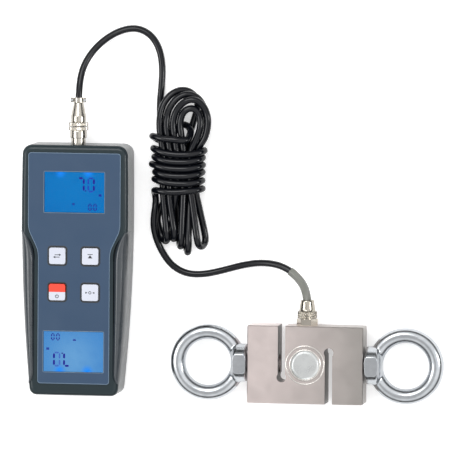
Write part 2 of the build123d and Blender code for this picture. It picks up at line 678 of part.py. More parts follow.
def plug_insulator():
    """Insulator of the plug, with a hole for each pin."""
    start = CASE_LENGTH + INSULATOR_FRONT + SEAT_GAP
    end = BACKSHELL_Y
    body = rod_y(PLUG_NECK_RADIUS - 0.8, start, end, 0, SPLIT_Z)
    for x, z in pin_places():
        body = body - rod_y(PIN_RADIUS + RUNNING_GAP, start - 1, start + PIN_LENGTH + 1, x, z)
    return body


def coupling_ring():
    """Knurled ring that screws the plug onto the socket."""
    bore = SOCKET_RADIUS + RUNNING_GAP
    neck = PLUG_NECK_RADIUS + RUNNING_GAP
    knurl_y = RING_END_Y - RING_KNURL_LENGTH
    profile = [
        (bore, RING_Y),
        (RING_SLEEVE_RADIUS, RING_Y),
        (RING_SLEEVE_RADIUS, knurl_y),
        (RING_KNURL_RADIUS, knurl_y),
        (RING_KNURL_RADIUS, RING_END_Y),
        (neck, RING_END_Y),
        (neck, RING_SHOULDER_Y),
        (bore, RING_SHOULDER_Y),
    ]
    ring = turned_y(profile, 0, SPLIT_Z)
    return ring - knurl_notches(RING_KNURL_RADIUS, knurl_y - 0.5, RING_END_Y + 0.5, 0, SPLIT_Z)


def backshell():
    """Plug body: collar, neck, knurled ring, taper and the lower half of the cable clamp."""
    collar_y = RING_SHOULDER_Y - SEAT_GAP - PLUG_COLLAR_THICK
    ring_end = BACKSHELL_Y + BACKSHELL_RING_LENGTH
    bore = PLUG_NECK_RADIUS - 0.8 + RUNNING_GAP
    profile = [
        (bore, collar_y),
        (SOCKET_RADIUS - SEAT_GAP, collar_y),
        (SOCKET_RADIUS - SEAT_GAP, RING_SHOULDER_Y - SEAT_GAP),
        (PLUG_NECK_RADIUS, RING_SHOULDER_Y - SEAT_GAP),
        (PLUG_NECK_RADIUS, BACKSHELL_Y),
        (RING_KNURL_RADIUS, BACKSHELL_Y),
        (RING_KNURL_RADIUS, ring_end),
        (BACKSHELL_RADIUS, ring_end),
        (BACKSHELL_RADIUS, TAPER_Y),
        (BACKSHELL_TIP_RADIUS, TIP_Y),
        (CABLE_BORE, TIP_Y),
        (CABLE_BORE, TAPER_Y),
        (bore, TAPER_Y - 1),
    ]
    body = turned_y(profile, 0, SPLIT_Z)
    body = body - knurl_notches(RING_KNURL_RADIUS, BACKSHELL_Y - 0.5, ring_end + 0.5, 0, SPLIT_Z)
    return body + saddle(-1)


def saddle(side):
    """Half of the cable clamp, below (-1) or above (1) the cable, with its two ears."""
    start, end = TIP_Y, CLAMP_END_Y
    if side > 0:
        start = start + SEAT_GAP
    half = SEAT_GAP / 2
    lows = sorted((side * half, side * (CLAMP_OUTER_RADIUS + 1)))
    ears = sorted((side * half, side * (half + CLAMP_EAR_THICK)))
    keep = box((-9, start, SPLIT_Z + lows[0]), (9, end, SPLIT_Z + lows[1]))
    tube = rod_y(CLAMP_OUTER_RADIUS, start, end, 0, SPLIT_Z) & keep
    plate = box((-CLAMP_EAR_HALF, start, SPLIT_Z + ears[0]), (CLAMP_EAR_HALF, end, SPLIT_Z + ears[1]))
    body = (tube + plate) - rod_y(CABLE_BORE, start - 1, end + 1, 0, SPLIT_Z)
    middle = (TIP_Y + CLAMP_END_Y) / 2
    for x in (-CLAMP_SCREW_X, CLAMP_SCREW_X):
        body = body - rod_z(CLAMP_SCREW_RADIUS + RUNNING_GAP, SPLIT_Z - 5, SPLIT_Z + 5, x, middle)
    return body


def clamp_screws():
    """Two small screws through the clamp's ears."""
    middle = (TIP_Y + CLAMP_END_Y) / 2
    seat = SPLIT_Z + SEAT_GAP / 2 + CLAMP_EAR_THICK
    foot = SPLIT_Z - SEAT_GAP / 2 - CLAMP_EAR_THICK
    pieces = []
    for x in (-CLAMP_SCREW_X, CLAMP_SCREW_X):
        shank = rod_z(CLAMP_SCREW_RADIUS, foot, seat, x, middle)
        pieces.append(shank + rod_z(CLAMP_HEAD_RADIUS, seat, seat + CLAMP_HEAD_HEIGHT, x, middle))
    return group(pieces)


# ---- load cell, in place: X along it, Y from one open slot side to the other ----------
def cell_body():
    """S-shaped body: two slots with relief holes, threaded ends and gauge pockets."""
    half_x, half_y, half_z = CELL_LENGTH / 2, CELL_HEIGHT / 2, CELL_THICK / 2
    body = Pos(CELL_X, CELL_Y, CELL_Z) * Box(CELL_LENGTH, CELL_HEIGHT, CELL_THICK)
    body = chamfer(body.edges(), CELL_EDGE)
    low_z, high_z = CELL_Z - half_z - 1, CELL_Z + half_z + 1
    for side in (-1, 1):
        x = CELL_X + side * SLOT_X
        mouth = CELL_Y - side * half_y
        relief = mouth + side * SLOT_DEPTH
        ys = sorted((mouth - side, relief))
        slot = box((x - SLOT_WIDTH / 2, ys[0], low_z), (x + SLOT_WIDTH / 2, ys[1], high_z))
        body = body - slot - rod_z(RELIEF_RADIUS, low_z, high_z, x, relief)
        xs = sorted((CELL_X + side * (half_x + 1), x))
        body = body - rod_x(THREAD_RADIUS, xs[0], xs[1], CELL_Y, CELL_Z)
        face = CELL_Z + side * half_z
        web = CELL_Z + side * POCKET_WEB / 2
        seat = face - side * (COVER_SINK + COVER_THICK)
        groove = face - side * LAND_GROOVE_DEPTH
        outside = face + side
        body = body - rod_z(POCKET_RADIUS, *sorted((web, outside)), CELL_X, CELL_Y)
        body = body - rod_z(COVER_RADIUS + SEAT_GAP, *sorted((seat, outside)), CELL_X, CELL_Y)
        ring = rod_z(LAND_RADIUS, *sorted((groove, outside)), CELL_X, CELL_Y)
        ring = ring - rod_z(LAND_RADIUS - LAND_GROOVE, low_z, high_z, CELL_X, CELL_Y)
        body = body - ring
    gland_low = CELL_TOP_Y - GLAND_THREAD_LENGTH - 1
    body = body - rod_y(GLAND_THREAD_RADIUS + RUNNING_GAP, gland_low, CELL_TOP_Y + 1, CELL_X, CELL_Z)
    return body - rod_y(WIRE_HOLE_RADIUS, CELL_Y, CELL_TOP_Y, CELL_X, CELL_Z + POCKET_WEB / 2)


def gauge_cover(side):
    """Round cover over the gauge pocket, on the front (1) or the rear (-1)."""
    face = CELL_Z + side * (CELL_THICK / 2 - COVER_SINK)
    cover = rod_z(COVER_RADIUS, *sorted((face, face - side * COVER_THICK)), CELL_X, CELL_Y)
    outer = cover.faces().sort_by(Axis.Z)[-1 if side > 0 else 0]
    return chamfer(outer.edges(), COVER_EDGE)


def strain_gauges():
    """Two foil gauges bonded on each side of the web."""
    pieces = []
    for side in (-1, 1):
        web = CELL_Z + side * POCKET_WEB / 2
        zs = sorted((web, web + side * GAUGE_THICK))
        for shift in (-GAUGE_OFFSET, GAUGE_OFFSET):
            x, y = CELL_X + shift, CELL_Y - GAUGE_DROP
            low = (x - GAUGE_WIDTH / 2, y - GAUGE_LENGTH / 2, zs[0])
            pieces.append(box(low, (x + GAUGE_WIDTH / 2, y + GAUGE_LENGTH / 2, zs[1])))
    return group(pieces)


def terminal_board():
    """Small solder board in the rear pocket."""
    web = CELL_Z - POCKET_WEB / 2
    y = CELL_Y + TERMINAL_RISE
    low = (CELL_X - TERMINAL_LENGTH / 2, y - TERMINAL_WIDTH / 2, web - TERMINAL_THICK)
    return box(low, (CELL_X + TERMINAL_LENGTH / 2, y + TERMINAL_WIDTH / 2, web))


def gland_body():
    """Gland base: thread into the load cell, hexagon, and the neck under the nut."""
    start, hex_end = CELL_TOP_Y - GLAND_THREAD_LENGTH, CELL_TOP_Y + GLAND_HEX_LENGTH
    body = rod_y(GLAND_THREAD_RADIUS, start, CELL_TOP_Y + 1, CELL_X, CELL_Z)
    body = body + hex_y(GLAND_HEX_ACROSS, CELL_TOP_Y, hex_end, CELL_X, CELL_Z)
    body = body + rod_y(GLAND_NECK_RADIUS, hex_end - 1, GLAND_NECK_END_Y, CELL_X, CELL_Z)
    return body - rod_y(CABLE_BORE, start - 1, GLAND_NECK_END_Y + 1, CELL_X, CELL_Z)


def gland_seal():
    """Rubber bush squeezed round the cable by the nut."""
    start = GLAND_NECK_END_Y + RUNNING_GAP
    body = rod_y(GLAND_NECK_RADIUS - SEAT_GAP, start, start + GLAND_SEAL_LENGTH, CELL_X, CELL_Z)
    return body - rod_y(CABLE_BORE, start - 1, start + GLAND_SEAL_LENGTH + 1, CELL_X, CELL_Z)


def gland_nut():
    """Cap nut of the gland: a knurled ring and a tapered nose."""
    bore = GLAND_NECK_RADIUS + RUNNING_GAP
    mouth = SLEEVE_RADIUS + RUNNING_GAP
    shoulder = GLAND_NECK_END_Y + GLAND_SEAL_LENGTH + 2 * SEAT_GAP
    profile = [
        (bore, GLAND_NUT_Y),
        (GLAND_KNURL_RADIUS, GLAND_NUT_Y),
        (GLAND_KNURL_RADIUS, GLAND_CAP_Y),
        (GLAND_CAP_BASE, GLAND_CAP_Y),
        (GLAND_CAP_TIP, GLAND_END_Y),
        (mouth, GLAND_END_Y),
        (mouth, shoulder),
        (bore, shoulder),
    ]
    nut = turned_y(profile, CELL_X, CELL_Z)
    start, end = GLAND_NUT_Y - 0.5, GLAND_CAP_Y
    return nut - knurl_notches(GLAND_KNURL_RADIUS, start, end, CELL_X, CELL_Z)


def eye_bolt(side):
    """Eye bolt at the left (-1) or right (1) end of the load cell."""
    bar = EYE_BAR / 2 + EYE_LAND
    ring_x = CELL_X + side * EYE_X
    seat = CELL_X + side * (CELL_LENGTH / 2 + COLLAR_GAP)
    ring = Pos(ring_x, CELL_Y, CELL_Z) * Torus(EYE_INNER_RADIUS + EYE_BAR / 2, bar)
    collar = rod_x(COLLAR_RADIUS, *sorted((seat, seat + side * COLLAR_LENGTH)), CELL_Y, CELL_Z)
    collar = chamfer(collar.edges().filter_by(GeomType.CIRCLE), COLLAR_EDGE)
    tip = seat - side * BOLT_LENGTH
    shank = rod_x(THREAD_RADIUS - RUNNING_GAP, *sorted((tip, seat + side)), CELL_Y, CELL_Z)
    ends = shank.edges().filter_by(GeomType.CIRCLE).sort_by(Axis.X)
    shank = chamfer(ends[0 if side > 0 else -1], BOLT_CHAMFER)
    bore = rod_z(EYE_INNER_RADIUS, CELL_Z - EYE_BAR, CELL_Z + EYE_BAR, ring_x, CELL_Y)
    outer = rod_z(EYE_OUTER_RADIUS, CELL_Z - EYE_BAR, CELL_Z + EYE_BAR, ring_x, CELL_Y)
    near = box(
        (min(seat, ring_x), CELL_Y - COLLAR_RADIUS, CELL_Z - COLLAR_RADIUS),
        (max(seat, ring_x), CELL_Y + COLLAR_RADIUS, CELL_Z + COLLAR_RADIUS),
    )
    ring = ring & outer
    return (ring + (collar - (bore & near)) + shank) - bore


# ---- cable --------------------------------------------------------------------------
UPPER_ROUTE = [
    (0.0, CLAMP_END_Y - CABLE_IN_PLUG - CLAMP_LENGTH, SPLIT_Z),
    (0.0, CLAMP_END_Y + 5.5, SPLIT_Z),
    (1.2, 212.5, 13.4),
    (5.4, 222.0, 10.2),
    (12.6, 230.6, 6.6),
    (22.6, 236.8, 3.6),
    (33.0, 238.6, 2.5),
    (42.2, 234.4, 2.3),
    (48.6, 225.4, 2.3),
    (51.2, 213.6, 2.3),
    (52.4, 202.2, 2.8),
    (54.4, 191.4, 5.0),
]
LOWER_ROUTE = [
    (CELL_X, GLAND_END_Y - CABLE_IN_GLAND, CELL_Z),
    (CELL_X, GLAND_END_Y + 4.0, CELL_Z),
    (145.6, 79.4, 12.3),
    (134.2, 86.4, 9.6),
    (120.8, 88.0, 6.0),
    (107.4, 85.8, 3.4),
    (94.4, 82.0, 2.4),
    (82.0, 79.0, 2.3),
    (70.2, 79.0, 2.3),
    (60.0, 83.4, 2.3),
    (52.8, 91.6, 2.3),
    (49.4, 102.4, 2.3),
    (49.6, 113.0, 2.6),
    (52.0, 122.8, 4.4),
]
SLEEVE_POINTS = 3  # route points inside the sleeve
SLEEVE_LAST = 0.5  # share of the next run that the sleeve covers


def corner_radii(points):
    """The largest arc that each corner's two runs allow."""
    radii = []
    for before, here, after in zip(points, points[1:], points[2:]):
        run_in, run_out = Vector(*here) - Vector(*before), Vector(*after) - Vector(*here)
        half_turn = math.radians(run_in.get_angle(run_out) / 2)
        radii.append(0.45 * min(run_in.length, run_out.length) / math.tan(half_turn))
    return radii


def tube(path, radius):
    """A round tube along a path."""
    start = Plane(origin=path @ 0, z_dir=path % 0)
    return sweep(start * Circle(radius), path=path)


def cable_tube(points, name):
    """The cable along its route. Prints its tightest bend and its volume against its length."""
    radii = corner_radii(points)
    path = FilletPolyline(*points, radius=radii)
    solid = tube(path, CABLE_RADIUS)
    share = solid.volume / (math.pi * CABLE_RADIUS**2 * path.length)
    radii_text = ", ".join(f"{radius:.0f}" for radius in radii)
    print(f"{name}: length {path.length:.1f}, radii {radii_text}, volume share {share:.4f}")
    return solid


def cable_sleeve():
    """Shrink sleeve over the cable where it leaves the gland."""
    radii = corner_radii(LOWER_ROUTE)[: SLEEVE_POINTS - 1]
    last, following = Vector(*LOWER_ROUTE[SLEEVE_POINTS - 1]), Vector(*LOWER_ROUTE[SLEEVE_POINTS])
    end = last + (following - last) * SLEEVE_LAST
    start = Vector(CELL_X, GLAND_NECK_END_Y + GLAND_SEAL_LENGTH + 4 * SEAT_GAP, CELL_Z)
    path = FilletPolyline(start, *LOWER_ROUTE[1:SLEEVE_POINTS], end, radius=radii)
    return tube(path, SLEEVE_RADIUS) - tube(path, CABLE_BORE)


def cable_hank():
    """Outer shape of the hank: its looped ends, and the turns wrapped round its middle."""
    ends = [
        (52.0, 180.0),
        (54.0, 194.0),
        (64.0, 202.0),
        (77.0, 200.0),
        (86.0, 190.0),
        (86.5, 176.0),
        (83.0, 150.0),
        (83.0, 112.0),
        (80.5, 94.0),
        (71.0, 90.0),
        (60.0, 95.0),
        (49.5, 108.0),
        (49.0, 124.0),
        (51.5, 150.0),
    ]
    flat = fillet(make_face(Polyline(*ends, close=True)).vertices(), 4.0)
    body = slab(flat, SEAT_GAP, HANK_LOOP_TOP)
    body = fillet(body.faces().sort_by(Axis.Z)[-1].edges(), 4.0)
    wraps = [(46.0, 171.0), (86.5, 160.5), (84.5, 131.0), (50.0, 131.5), (45.5, 150.0)]
    flat = fillet(make_face(Polyline(*wraps, close=True)).vertices(), 5.0)
    block = slab(flat, SEAT_GAP / 2, HANK_WRAP_TOP)
    block = fillet(block.faces().sort_by(Axis.Z)[-1].edges(), 6.0)
    return body + block


# ---- build --------------------------------------------------------------------------
def main():
    """Builds every sub-part and writes it."""
    os.makedirs("parts", exist_ok=True)
    save("front_shell", front_shell())
    save("rear_shell", rear_shell())
    right_grip = grip()
    save("right_grip", right_grip)
    save("left_grip", mirrored(right_grip))
    save("label_panel", label_panel())
    window = slab(window_outline(0, 0), RECESS_Z, RECESS_Z + WINDOW_THICK)
    module_top = INNER_FACE_Z - SEAT_GAP
    half_x, half_y = MODULE_LENGTH / 2, MODULE_WIDTH / 2
    module = box((-half_x, -half_y, BOARD_TOP_Z), (half_x, half_y, module_top))
    glass_outline = window_outline(-WINDOW_LEDGE - SEAT_GAP, 0)
    glass = slab(glass_outline, module_top, module_top + GLASS_THICK)
    for place, y in (("upper", UPPER_WINDOW_Y), ("lower", LOWER_WINDOW_Y)):
        save(f"{place}_window", Pos(0, y, 0) * window)
        save(f"{place}_backlight", Pos(0, y, 0) * module)
        save(f"{place}_display", Pos(0, y, 0) * glass)
    for name, (x, y) in KEY_PLACES.items():
        save(name, key(x, y))
    save("keypad_mat", keypad_mat())
    save("main_board", main_board())
    save("board_chips", board_chips())
    buzzer_top = INNER_FACE_Z - BUZZER_HEADROOM
    save("buzzer", rod_z(BUZZER_RADIUS, BOARD_TOP_Z, buzzer_top, BUZZER_X, ABOVE_KEYPAD_Y))
    save("battery_door", battery_door())
    save("batteries", batteries())
    save("battery_contacts", battery_contacts())
    save("case_screws", case_screws())
    save("panel_socket", panel_socket())
    save("socket_nut", socket_nut())
    save("socket_insulator", socket_insulator())
    save("socket_pins", socket_pins())
    save("plug_insulator", plug_insulator())
    save("coupling_ring", coupling_ring())
    save("backshell", backshell())
    save("cord_clamp", saddle(1))
    save("clamp_screws", clamp_screws())
    save("cell_body", cell_body())
    save("gauge_cover_front", gauge_cover(1))
    save("gauge_cover_rear", gauge_cover(-1))
    save("strain_gauges", strain_gauges())
    save("terminal_board", terminal_board())
    save("gland_body", gland_body())
    save("gland_seal", gland_seal())
    save("gland_nut", gland_nut())
    save("eye_bolt_left", eye_bolt(-1))
    save("eye_bolt_right", eye_bolt(1))
    save("cable_sleeve", cable_sleeve())
    save("cable_lead_upper", cable_tube(UPPER_ROUTE, "upper lead"))
    save("cable_lead_lower", cable_tube(LOWER_ROUTE, "lower lead"))
    save("cable_hank", cable_hank())


main()
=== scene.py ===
"""Force gauge: the dressed model of a meter, its cable wound in a hank, and an S-type load cell."""

from __future__ import annotations

import json
import logging
import math
from dataclasses import dataclass
from enum import Enum
from typing import Any, Iterable, Sequence

import bpy
import numpy as np
from mathutils import Matrix, Vector

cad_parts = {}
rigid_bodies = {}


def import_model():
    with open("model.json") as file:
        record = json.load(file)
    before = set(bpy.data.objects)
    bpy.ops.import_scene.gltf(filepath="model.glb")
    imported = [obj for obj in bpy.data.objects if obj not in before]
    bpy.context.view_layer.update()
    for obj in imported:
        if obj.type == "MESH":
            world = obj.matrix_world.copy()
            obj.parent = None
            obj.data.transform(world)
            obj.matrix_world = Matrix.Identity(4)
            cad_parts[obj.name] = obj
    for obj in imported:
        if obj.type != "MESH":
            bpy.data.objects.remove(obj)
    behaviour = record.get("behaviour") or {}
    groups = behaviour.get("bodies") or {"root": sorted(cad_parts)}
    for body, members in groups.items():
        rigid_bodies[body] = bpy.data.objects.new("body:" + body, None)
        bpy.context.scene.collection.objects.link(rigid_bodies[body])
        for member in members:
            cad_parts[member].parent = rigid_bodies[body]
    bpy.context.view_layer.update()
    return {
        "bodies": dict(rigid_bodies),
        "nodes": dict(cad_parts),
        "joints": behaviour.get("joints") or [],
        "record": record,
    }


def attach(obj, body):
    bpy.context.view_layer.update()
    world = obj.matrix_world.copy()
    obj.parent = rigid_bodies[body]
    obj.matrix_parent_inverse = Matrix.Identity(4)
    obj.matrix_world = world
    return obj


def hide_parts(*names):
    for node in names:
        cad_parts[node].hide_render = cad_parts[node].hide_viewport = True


log = logging.getLogger("force_gauge")

PART_ORIGIN = np.array((103.0745, 84.3, 0.0))  # the part's origin from the meter's foot, mm
MM = 0.001
SHARP_EDGE = math.radians(38)  # an edge that turns more than this stays crisp
Point = tuple[float, float, float]
Spot = tuple[float, float]
Tree = bpy.types.NodeTree


# ---- placing and meshes ---------------------------------------------------------------
def placed(points: Iterable) -> np.ndarray:
    """Turns points from the meter's own frame in millimetres into the part's frame in metres.

    Args:
        points: rows of x, y, z from the meter's bottom edge, centre line and back.

    Returns:
        The same rows in the part's frame.
    """
    return (np.asarray(points, dtype=float) - PART_ORIGIN) * MM


def linear(code: str, alpha: float = 1.0) -> tuple[float, float, float, float]:
    """Turns an sRGB hex colour into linear light.

    Args:
        code: six hex digits.
        alpha: the fourth value.

    Returns:
        Linear red, green, blue and alpha.
    """
    values = (int(code[i:i + 2], 16) / 255 for i in (0, 2, 4))
    parts = [v / 12.92 if v <= 0.04045 else ((v + 0.055) / 1.055) ** 2.4 for v in values]
    return parts[0], parts[1], parts[2], alpha


def mesh_piece(name: str, points: np.ndarray, faces: Sequence, finish: "Finish", slot: str,
               body: str, smooth: bool = True) -> bpy.types.Object:
    """Makes a piece from points in the meter's frame, dresses it and lets it ride on a body.

    Args:
        name: the piece's name.
        points: rows of x, y, z in millimetres.
        faces: rows of point numbers, turning so that the normals point outwards.
        finish: what it is made of.
        slot: the record's material slot; not used.
        body: the body it moves with.
        smooth: whether its faces shade smoothly.

    Returns:
        The new object.
    """
    mesh = bpy.data.meshes.new(name)
    mesh.from_pydata(placed(points), [], [tuple(int(i) for i in f) for f in faces])
    mesh.update()
    mesh.polygons.foreach_set("use_smooth", np.full(len(mesh.polygons), smooth))
    if smooth:
        mesh.set_sharp_from_angle(angle=SHARP_EDGE)
    piece = bpy.data.objects.new(name, mesh)
    bpy.context.scene.collection.objects.link(piece)
    piece.data.materials.append(finish.material())
    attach(piece, body)
    log.info("made %s with %d faces", name, len(mesh.polygons))
    return piece


def grid_faces(rows: int, columns: int, round_rows: bool = False,
               round_columns: bool = False) -> np.ndarray:
    """Faces of a grid of points, row after row, closed round either way if asked.

    Args:
        rows: number of rows of points.
        columns: number of points in a row.
        round_rows: whether the last row joins the first.
        round_columns: whether the last point of a row joins its first.

    Returns:
        Rows of four point numbers.
    """
    i = np.arange(rows if round_rows else rows - 1)
    j = np.arange(columns if round_columns else columns - 1)
    a, b = np.meshgrid(i, j, indexing="ij")
    c, d = (a + 1) % rows, (b + 1) % columns
    corners = (a * columns + b, a * columns + d, c * columns + d, c * columns + b)
    return np.stack([k.ravel() for k in corners], axis=1)


def prism(outline: np.ndarray, low: float, high: float) -> tuple[np.ndarray, list]:
    """A flat plate of a convex outline between two heights, closed all round.

    Args:
        outline: rows of x and y, anticlockwise from above.
        low: its lower face's z.
        high: its upper face's z.

    Returns:
        Its points and its faces.
    """
    count = len(outline)
    points = np.concatenate([np.column_stack((outline, np.full(count, z))) for z in (low, high)])
    i = np.arange(count)
    j = (i + 1) % count
    walls = np.stack((i, j, j + count, i + count), axis=1).tolist()
    return points, walls + [list(range(count))[::-1], list(range(count, 2 * count))]


def gathered(parts: Iterable[tuple[np.ndarray, Sequence]]) -> tuple[np.ndarray, list]:
    """Several sets of points and faces put together as one.

    Args:
        parts: pairs of points and faces.

    Returns:
        All the points and all the faces, numbered on.
    """
    points, faces, start = [], [], 0
    for some, rows in parts:
        points.append(some)
        faces += [[int(i) + start for i in row] for row in rows]
        start += len(some)
    return np.concatenate(points), faces


def rounded(corners: Sequence[Spot], radii: Sequence[float],
            steps: int = 10) -> tuple[np.ndarray, np.ndarray]:
    """A closed outline whose corners are arcs, and its outward normals.

    Each arc touches both edges: its centre lies on the corner's bisector, radius / sin(half
    the corner's angle) away.

    Args:
        corners: rows of x and y, anticlockwise.
        radii: a radius for each corner.
        steps: points on an arc.

    Returns:
        Points and normals, rows of x and y.
    """
    spots = np.asarray(corners, dtype=float)
    points, normals = [], []
    for i, radius in enumerate(radii):
        here, back, ahead = spots[i], spots[i - 1], spots[(i + 1) % len(spots)]
        u, v = (back - here), (ahead - here)
        u, v = u / np.linalg.norm(u), v / np.linalg.norm(v)
        half = math.acos(float(np.clip(u @ v, -1, 1))) / 2
        turn = math.copysign(1.0, float(v[0] * u[1] - v[1] * u[0]))
        middle = here + (u + v) / np.linalg.norm(u + v) * radius / math.sin(half)
        first, last = (here + k * radius / math.tan(half) - middle for k in (u, v))
        a = math.atan2(first[1], first[0])
        sweep = (math.atan2(last[1], last[0]) - a + math.pi) % (2 * math.pi) - math.pi
        angles = a + sweep * np.linspace(0, 1, steps)
        ring = np.stack((np.cos(angles), np.sin(angles)), axis=1)
        points.append(middle + radius * ring)
        normals.append(ring * turn)
    return np.concatenate(points), np.concatenate(normals)


def lathe(profile: Sequence[Spot], columns: int, teeth: int = 0, tooth: float = 0.0,
          knurled: Sequence[Point] = (), slant: float = 0.0) -> tuple[np.ndarray, np.ndarray]:
    """A closed turned ring about its own axis, with teeth cut into some of its lengths.

    A point is (r cos a, r sin a, t). In a knurled length, r loses the tooth's depth times
    0.5 - 0.5 cos(teeth * (a + slant * t)), and slanted teeth are crossed by a second set that
    leans the other way.

    Args:
        profile: closed run of radius and place along the axis, outside first, going along.
        columns: points round it.
        teeth: number of teeth.
        tooth: their depth.
        knurled: where teeth are cut, as a span of the axis and the least radius that has them.
        slant: turn of the teeth in radians per millimetre.

    Returns:
        Points, in rows of x, y and place along the axis, and faces.
    """
    rows = np.asarray(profile, dtype=float)
    a = np.linspace(0, 2 * math.pi, columns, endpoint=False)
    radius = np.repeat(rows[:, :1], columns, axis=1)
    along = np.repeat(rows[:, 1:], columns, axis=1)
    crossed = 0.5 - 0.5 * np.cos(teeth * (a[None] + slant * along))
    if slant:
        crossed = np.maximum(crossed, 0.5 - 0.5 * np.cos(teeth * (a[None] - slant * along)))
    for low, high, least in knurled:
        inside = (along > low) & (along < high) & (radius > least)
        radius = np.where(inside, radius - tooth * crossed, radius)
    points = np.stack((radius * np.cos(a), radius * np.sin(a), along), axis=-1).reshape(-1, 3)
    return points, grid_faces(len(rows), columns, True, True)


def along_y(points: np.ndarray, x: float, z: float) -> np.ndarray:
    """Stands a turned ring's axis along +Y through x and z."""
    return np.stack((x + points[:, 0], points[:, 2], z - points[:, 1]), axis=1)


def filled(profile: Sequence[Spot], step: float) -> np.ndarray:
    """A profile with more points on its long runs, evenly spaced from each corner to the next.

    Args:
        profile: its corners.
        step: about how far apart the points may be.

    Returns:
        Rows of radius and place along the axis.
    """
    corners = np.asarray(profile, dtype=float)
    runs = [np.linspace(start, end, max(1, round(math.dist(start, end) / step)) + 1)[1:]
            for start, end in zip(corners[:-1], corners[1:])]
    return np.concatenate((corners[:1], *runs))


def squared_off(values: np.ndarray, power: float) -> np.ndarray:
    """Sines or cosines raised to a power with their signs kept: below 1 it squares a circle."""
    return np.sign(values) * np.abs(values) ** power


# ---- nodes and finishes -----------------------------------------------------------------
def add(tree: Tree, kind: str, settings: dict[str, Any] | None = None,
        links: dict[Any, Any] | None = None) -> bpy.types.Node:
    """Adds one node with its settings and links.

    Args:
        tree: the material's node tree.
        kind: the node's type without its ShaderNode prefix.
        settings: attribute names, or input names, and their values.
        links: input names and the sockets that feed them.

    Returns:
        The new node.
    """
    node = tree.nodes.new("ShaderNode" + kind)
    for key, value in (settings or {}).items():
        if isinstance(key, str) and hasattr(node, key):
            setattr(node, key, value)
        else:
            node.inputs[key].default_value = value
    for key, source in (links or {}).items():
        tree.links.new(source, node.inputs[key])
    return node


@dataclass(frozen=True)
class Finish:
    """A surface with a slow change of colour, a fine grain in height and an uneven gloss.

    The grain is noise on Object coordinates, stretched along one way for a brushed or ground
    face. Sizes are in millimetres.

    Attributes:
        name: the material's name.
        colour: its main colour, in sRGB hex.
        shade: the colour that it drifts to.
        roughness: its middle roughness.
        metallic: 1 for bare metal.
        patch: how far apart the drifts of colour are.
        grain: the size of the grain.
        stretch: the grain's scale along each axis.
        depth: the grain's height.
        gloss_spread: how far the roughness strays from its middle.
        coat: the weight of a clear coat.
        specular: the level of its reflection.
    """

    name: str
    colour: str
    shade: str
    roughness: float
    metallic: float = 0.0
    patch: float = 30.0
    grain: float = 0.5
    stretch: Point = (1.0, 1.0, 1.0)
    depth: float = 0.02
    gloss_spread: float = 0.06
    coat: float = 0.0
    specular: float = 0.5

    def material(self) -> bpy.types.Material:
        """Gives the material, which is made once.

        Returns:
            The material of this finish's name.
        """
        found = bpy.data.materials.get(self.name)
        if found:
            return found
        made = bpy.data.materials.new(self.name)
        made.use_nodes = True
        made.node_tree.nodes.clear()
        shader = self.build(made.node_tree)
        add(made.node_tree, "OutputMaterial", {}, {"Surface": shader.outputs[0]})
        return made

    def noise(self, tree: Tree, size: float, detail: float = 3.0,
              stretch: Point = (1.0, 1.0, 1.0)) -> Any:
        """Noise on Object coordinates.

        Args:
            tree: the material's node tree.
            size: about how wide a blob is, in millimetres.
            detail: how many finer layers it has.
            stretch: the scale along each axis.

        Returns:
            The socket of its value.
        """
        where = add(tree, "TexCoord").outputs["Object"]
        place = add(tree, "Mapping", {"Scale": stretch}, {"Vector": where}).outputs[0]
        settings = {"Scale": 1.0 / (size * MM), "Detail": detail, "Roughness": 0.55}
        return add(tree, "TexNoise", settings, {"Vector": place}).outputs["Fac"]

    def tint(self, tree: Tree) -> Any:
        """The colour, drifting slowly between the two given ones.

        Args:
            tree: the material's node tree.

        Returns:
            The colour socket.
        """
        blobs = self.noise(tree, self.patch, 2.0)
        spread = add(tree, "MapRange", {"From Min": 0.32, "From Max": 0.68}, {"Value": blobs})
        return mixed(tree, linear(self.colour), linear(self.shade), spread.outputs[0])

    def gloss(self, tree: Tree, grain: Any) -> Any:
        """The roughness, uneven by the grain and by smears of a few millimetres.

        Args:
            tree: the material's node tree.
            grain: the grain's socket.

        Returns:
            The socket of the roughness.
        """
        smears = self.noise(tree, 9.0, 4.0)
        both = add(tree, "Math", {"operation": "ADD"}, {0: smears, 1: grain}).outputs[0]
        low, high = self.roughness - self.gloss_spread, self.roughness + self.gloss_spread
        settings = {"From Min": 0.7, "From Max": 1.3, "To Min": low, "To Max": high}
        return add(tree, "MapRange", settings, {"Value": both}).outputs[0]

    def build(self, tree: Tree) -> bpy.types.Node:
        """Builds the shader: colour, grain and gloss.

        Args:
            tree: the material's empty node tree.

        Returns:
            The shader node.
        """
        grain = self.noise(tree, self.grain, 3.0, self.stretch)
        height = add(tree, "Bump", {"Strength": 1.0, "Distance": self.depth * MM},
                     {"Height": grain})
        settings = {"Metallic": self.metallic, "Coat Weight": self.coat,
                    "Coat Roughness": 0.12, "Specular IOR Level": self.specular}
        links = {"Base Color": self.tint(tree), "Roughness": self.gloss(tree, grain),
                 "Normal": height.outputs[0]}
        return add(tree, "BsdfPrincipled", settings, links)


def mixed(tree: Tree, first: Any, second: Any, share: Any) -> Any:
    """Mixes two colours or colour sockets by a share.

    Args:
        tree: the node tree.
        first: the colour at 0, a value or a socket.
        second: the colour at 1, a value or a socket.
        share: the socket or number from 0 to 1.

    Returns:
        The colour socket.
    """
    node = add(tree, "Mix", {"data_type": "RGBA", "clamp_factor": True})
    for index, value in ((0, share), (6, first), (7, second)):
        if isinstance(value, bpy.types.NodeSocket):
            tree.links.new(value, node.inputs[index])
        else:
            node.inputs[index].default_value = value
    return node.outputs[2]


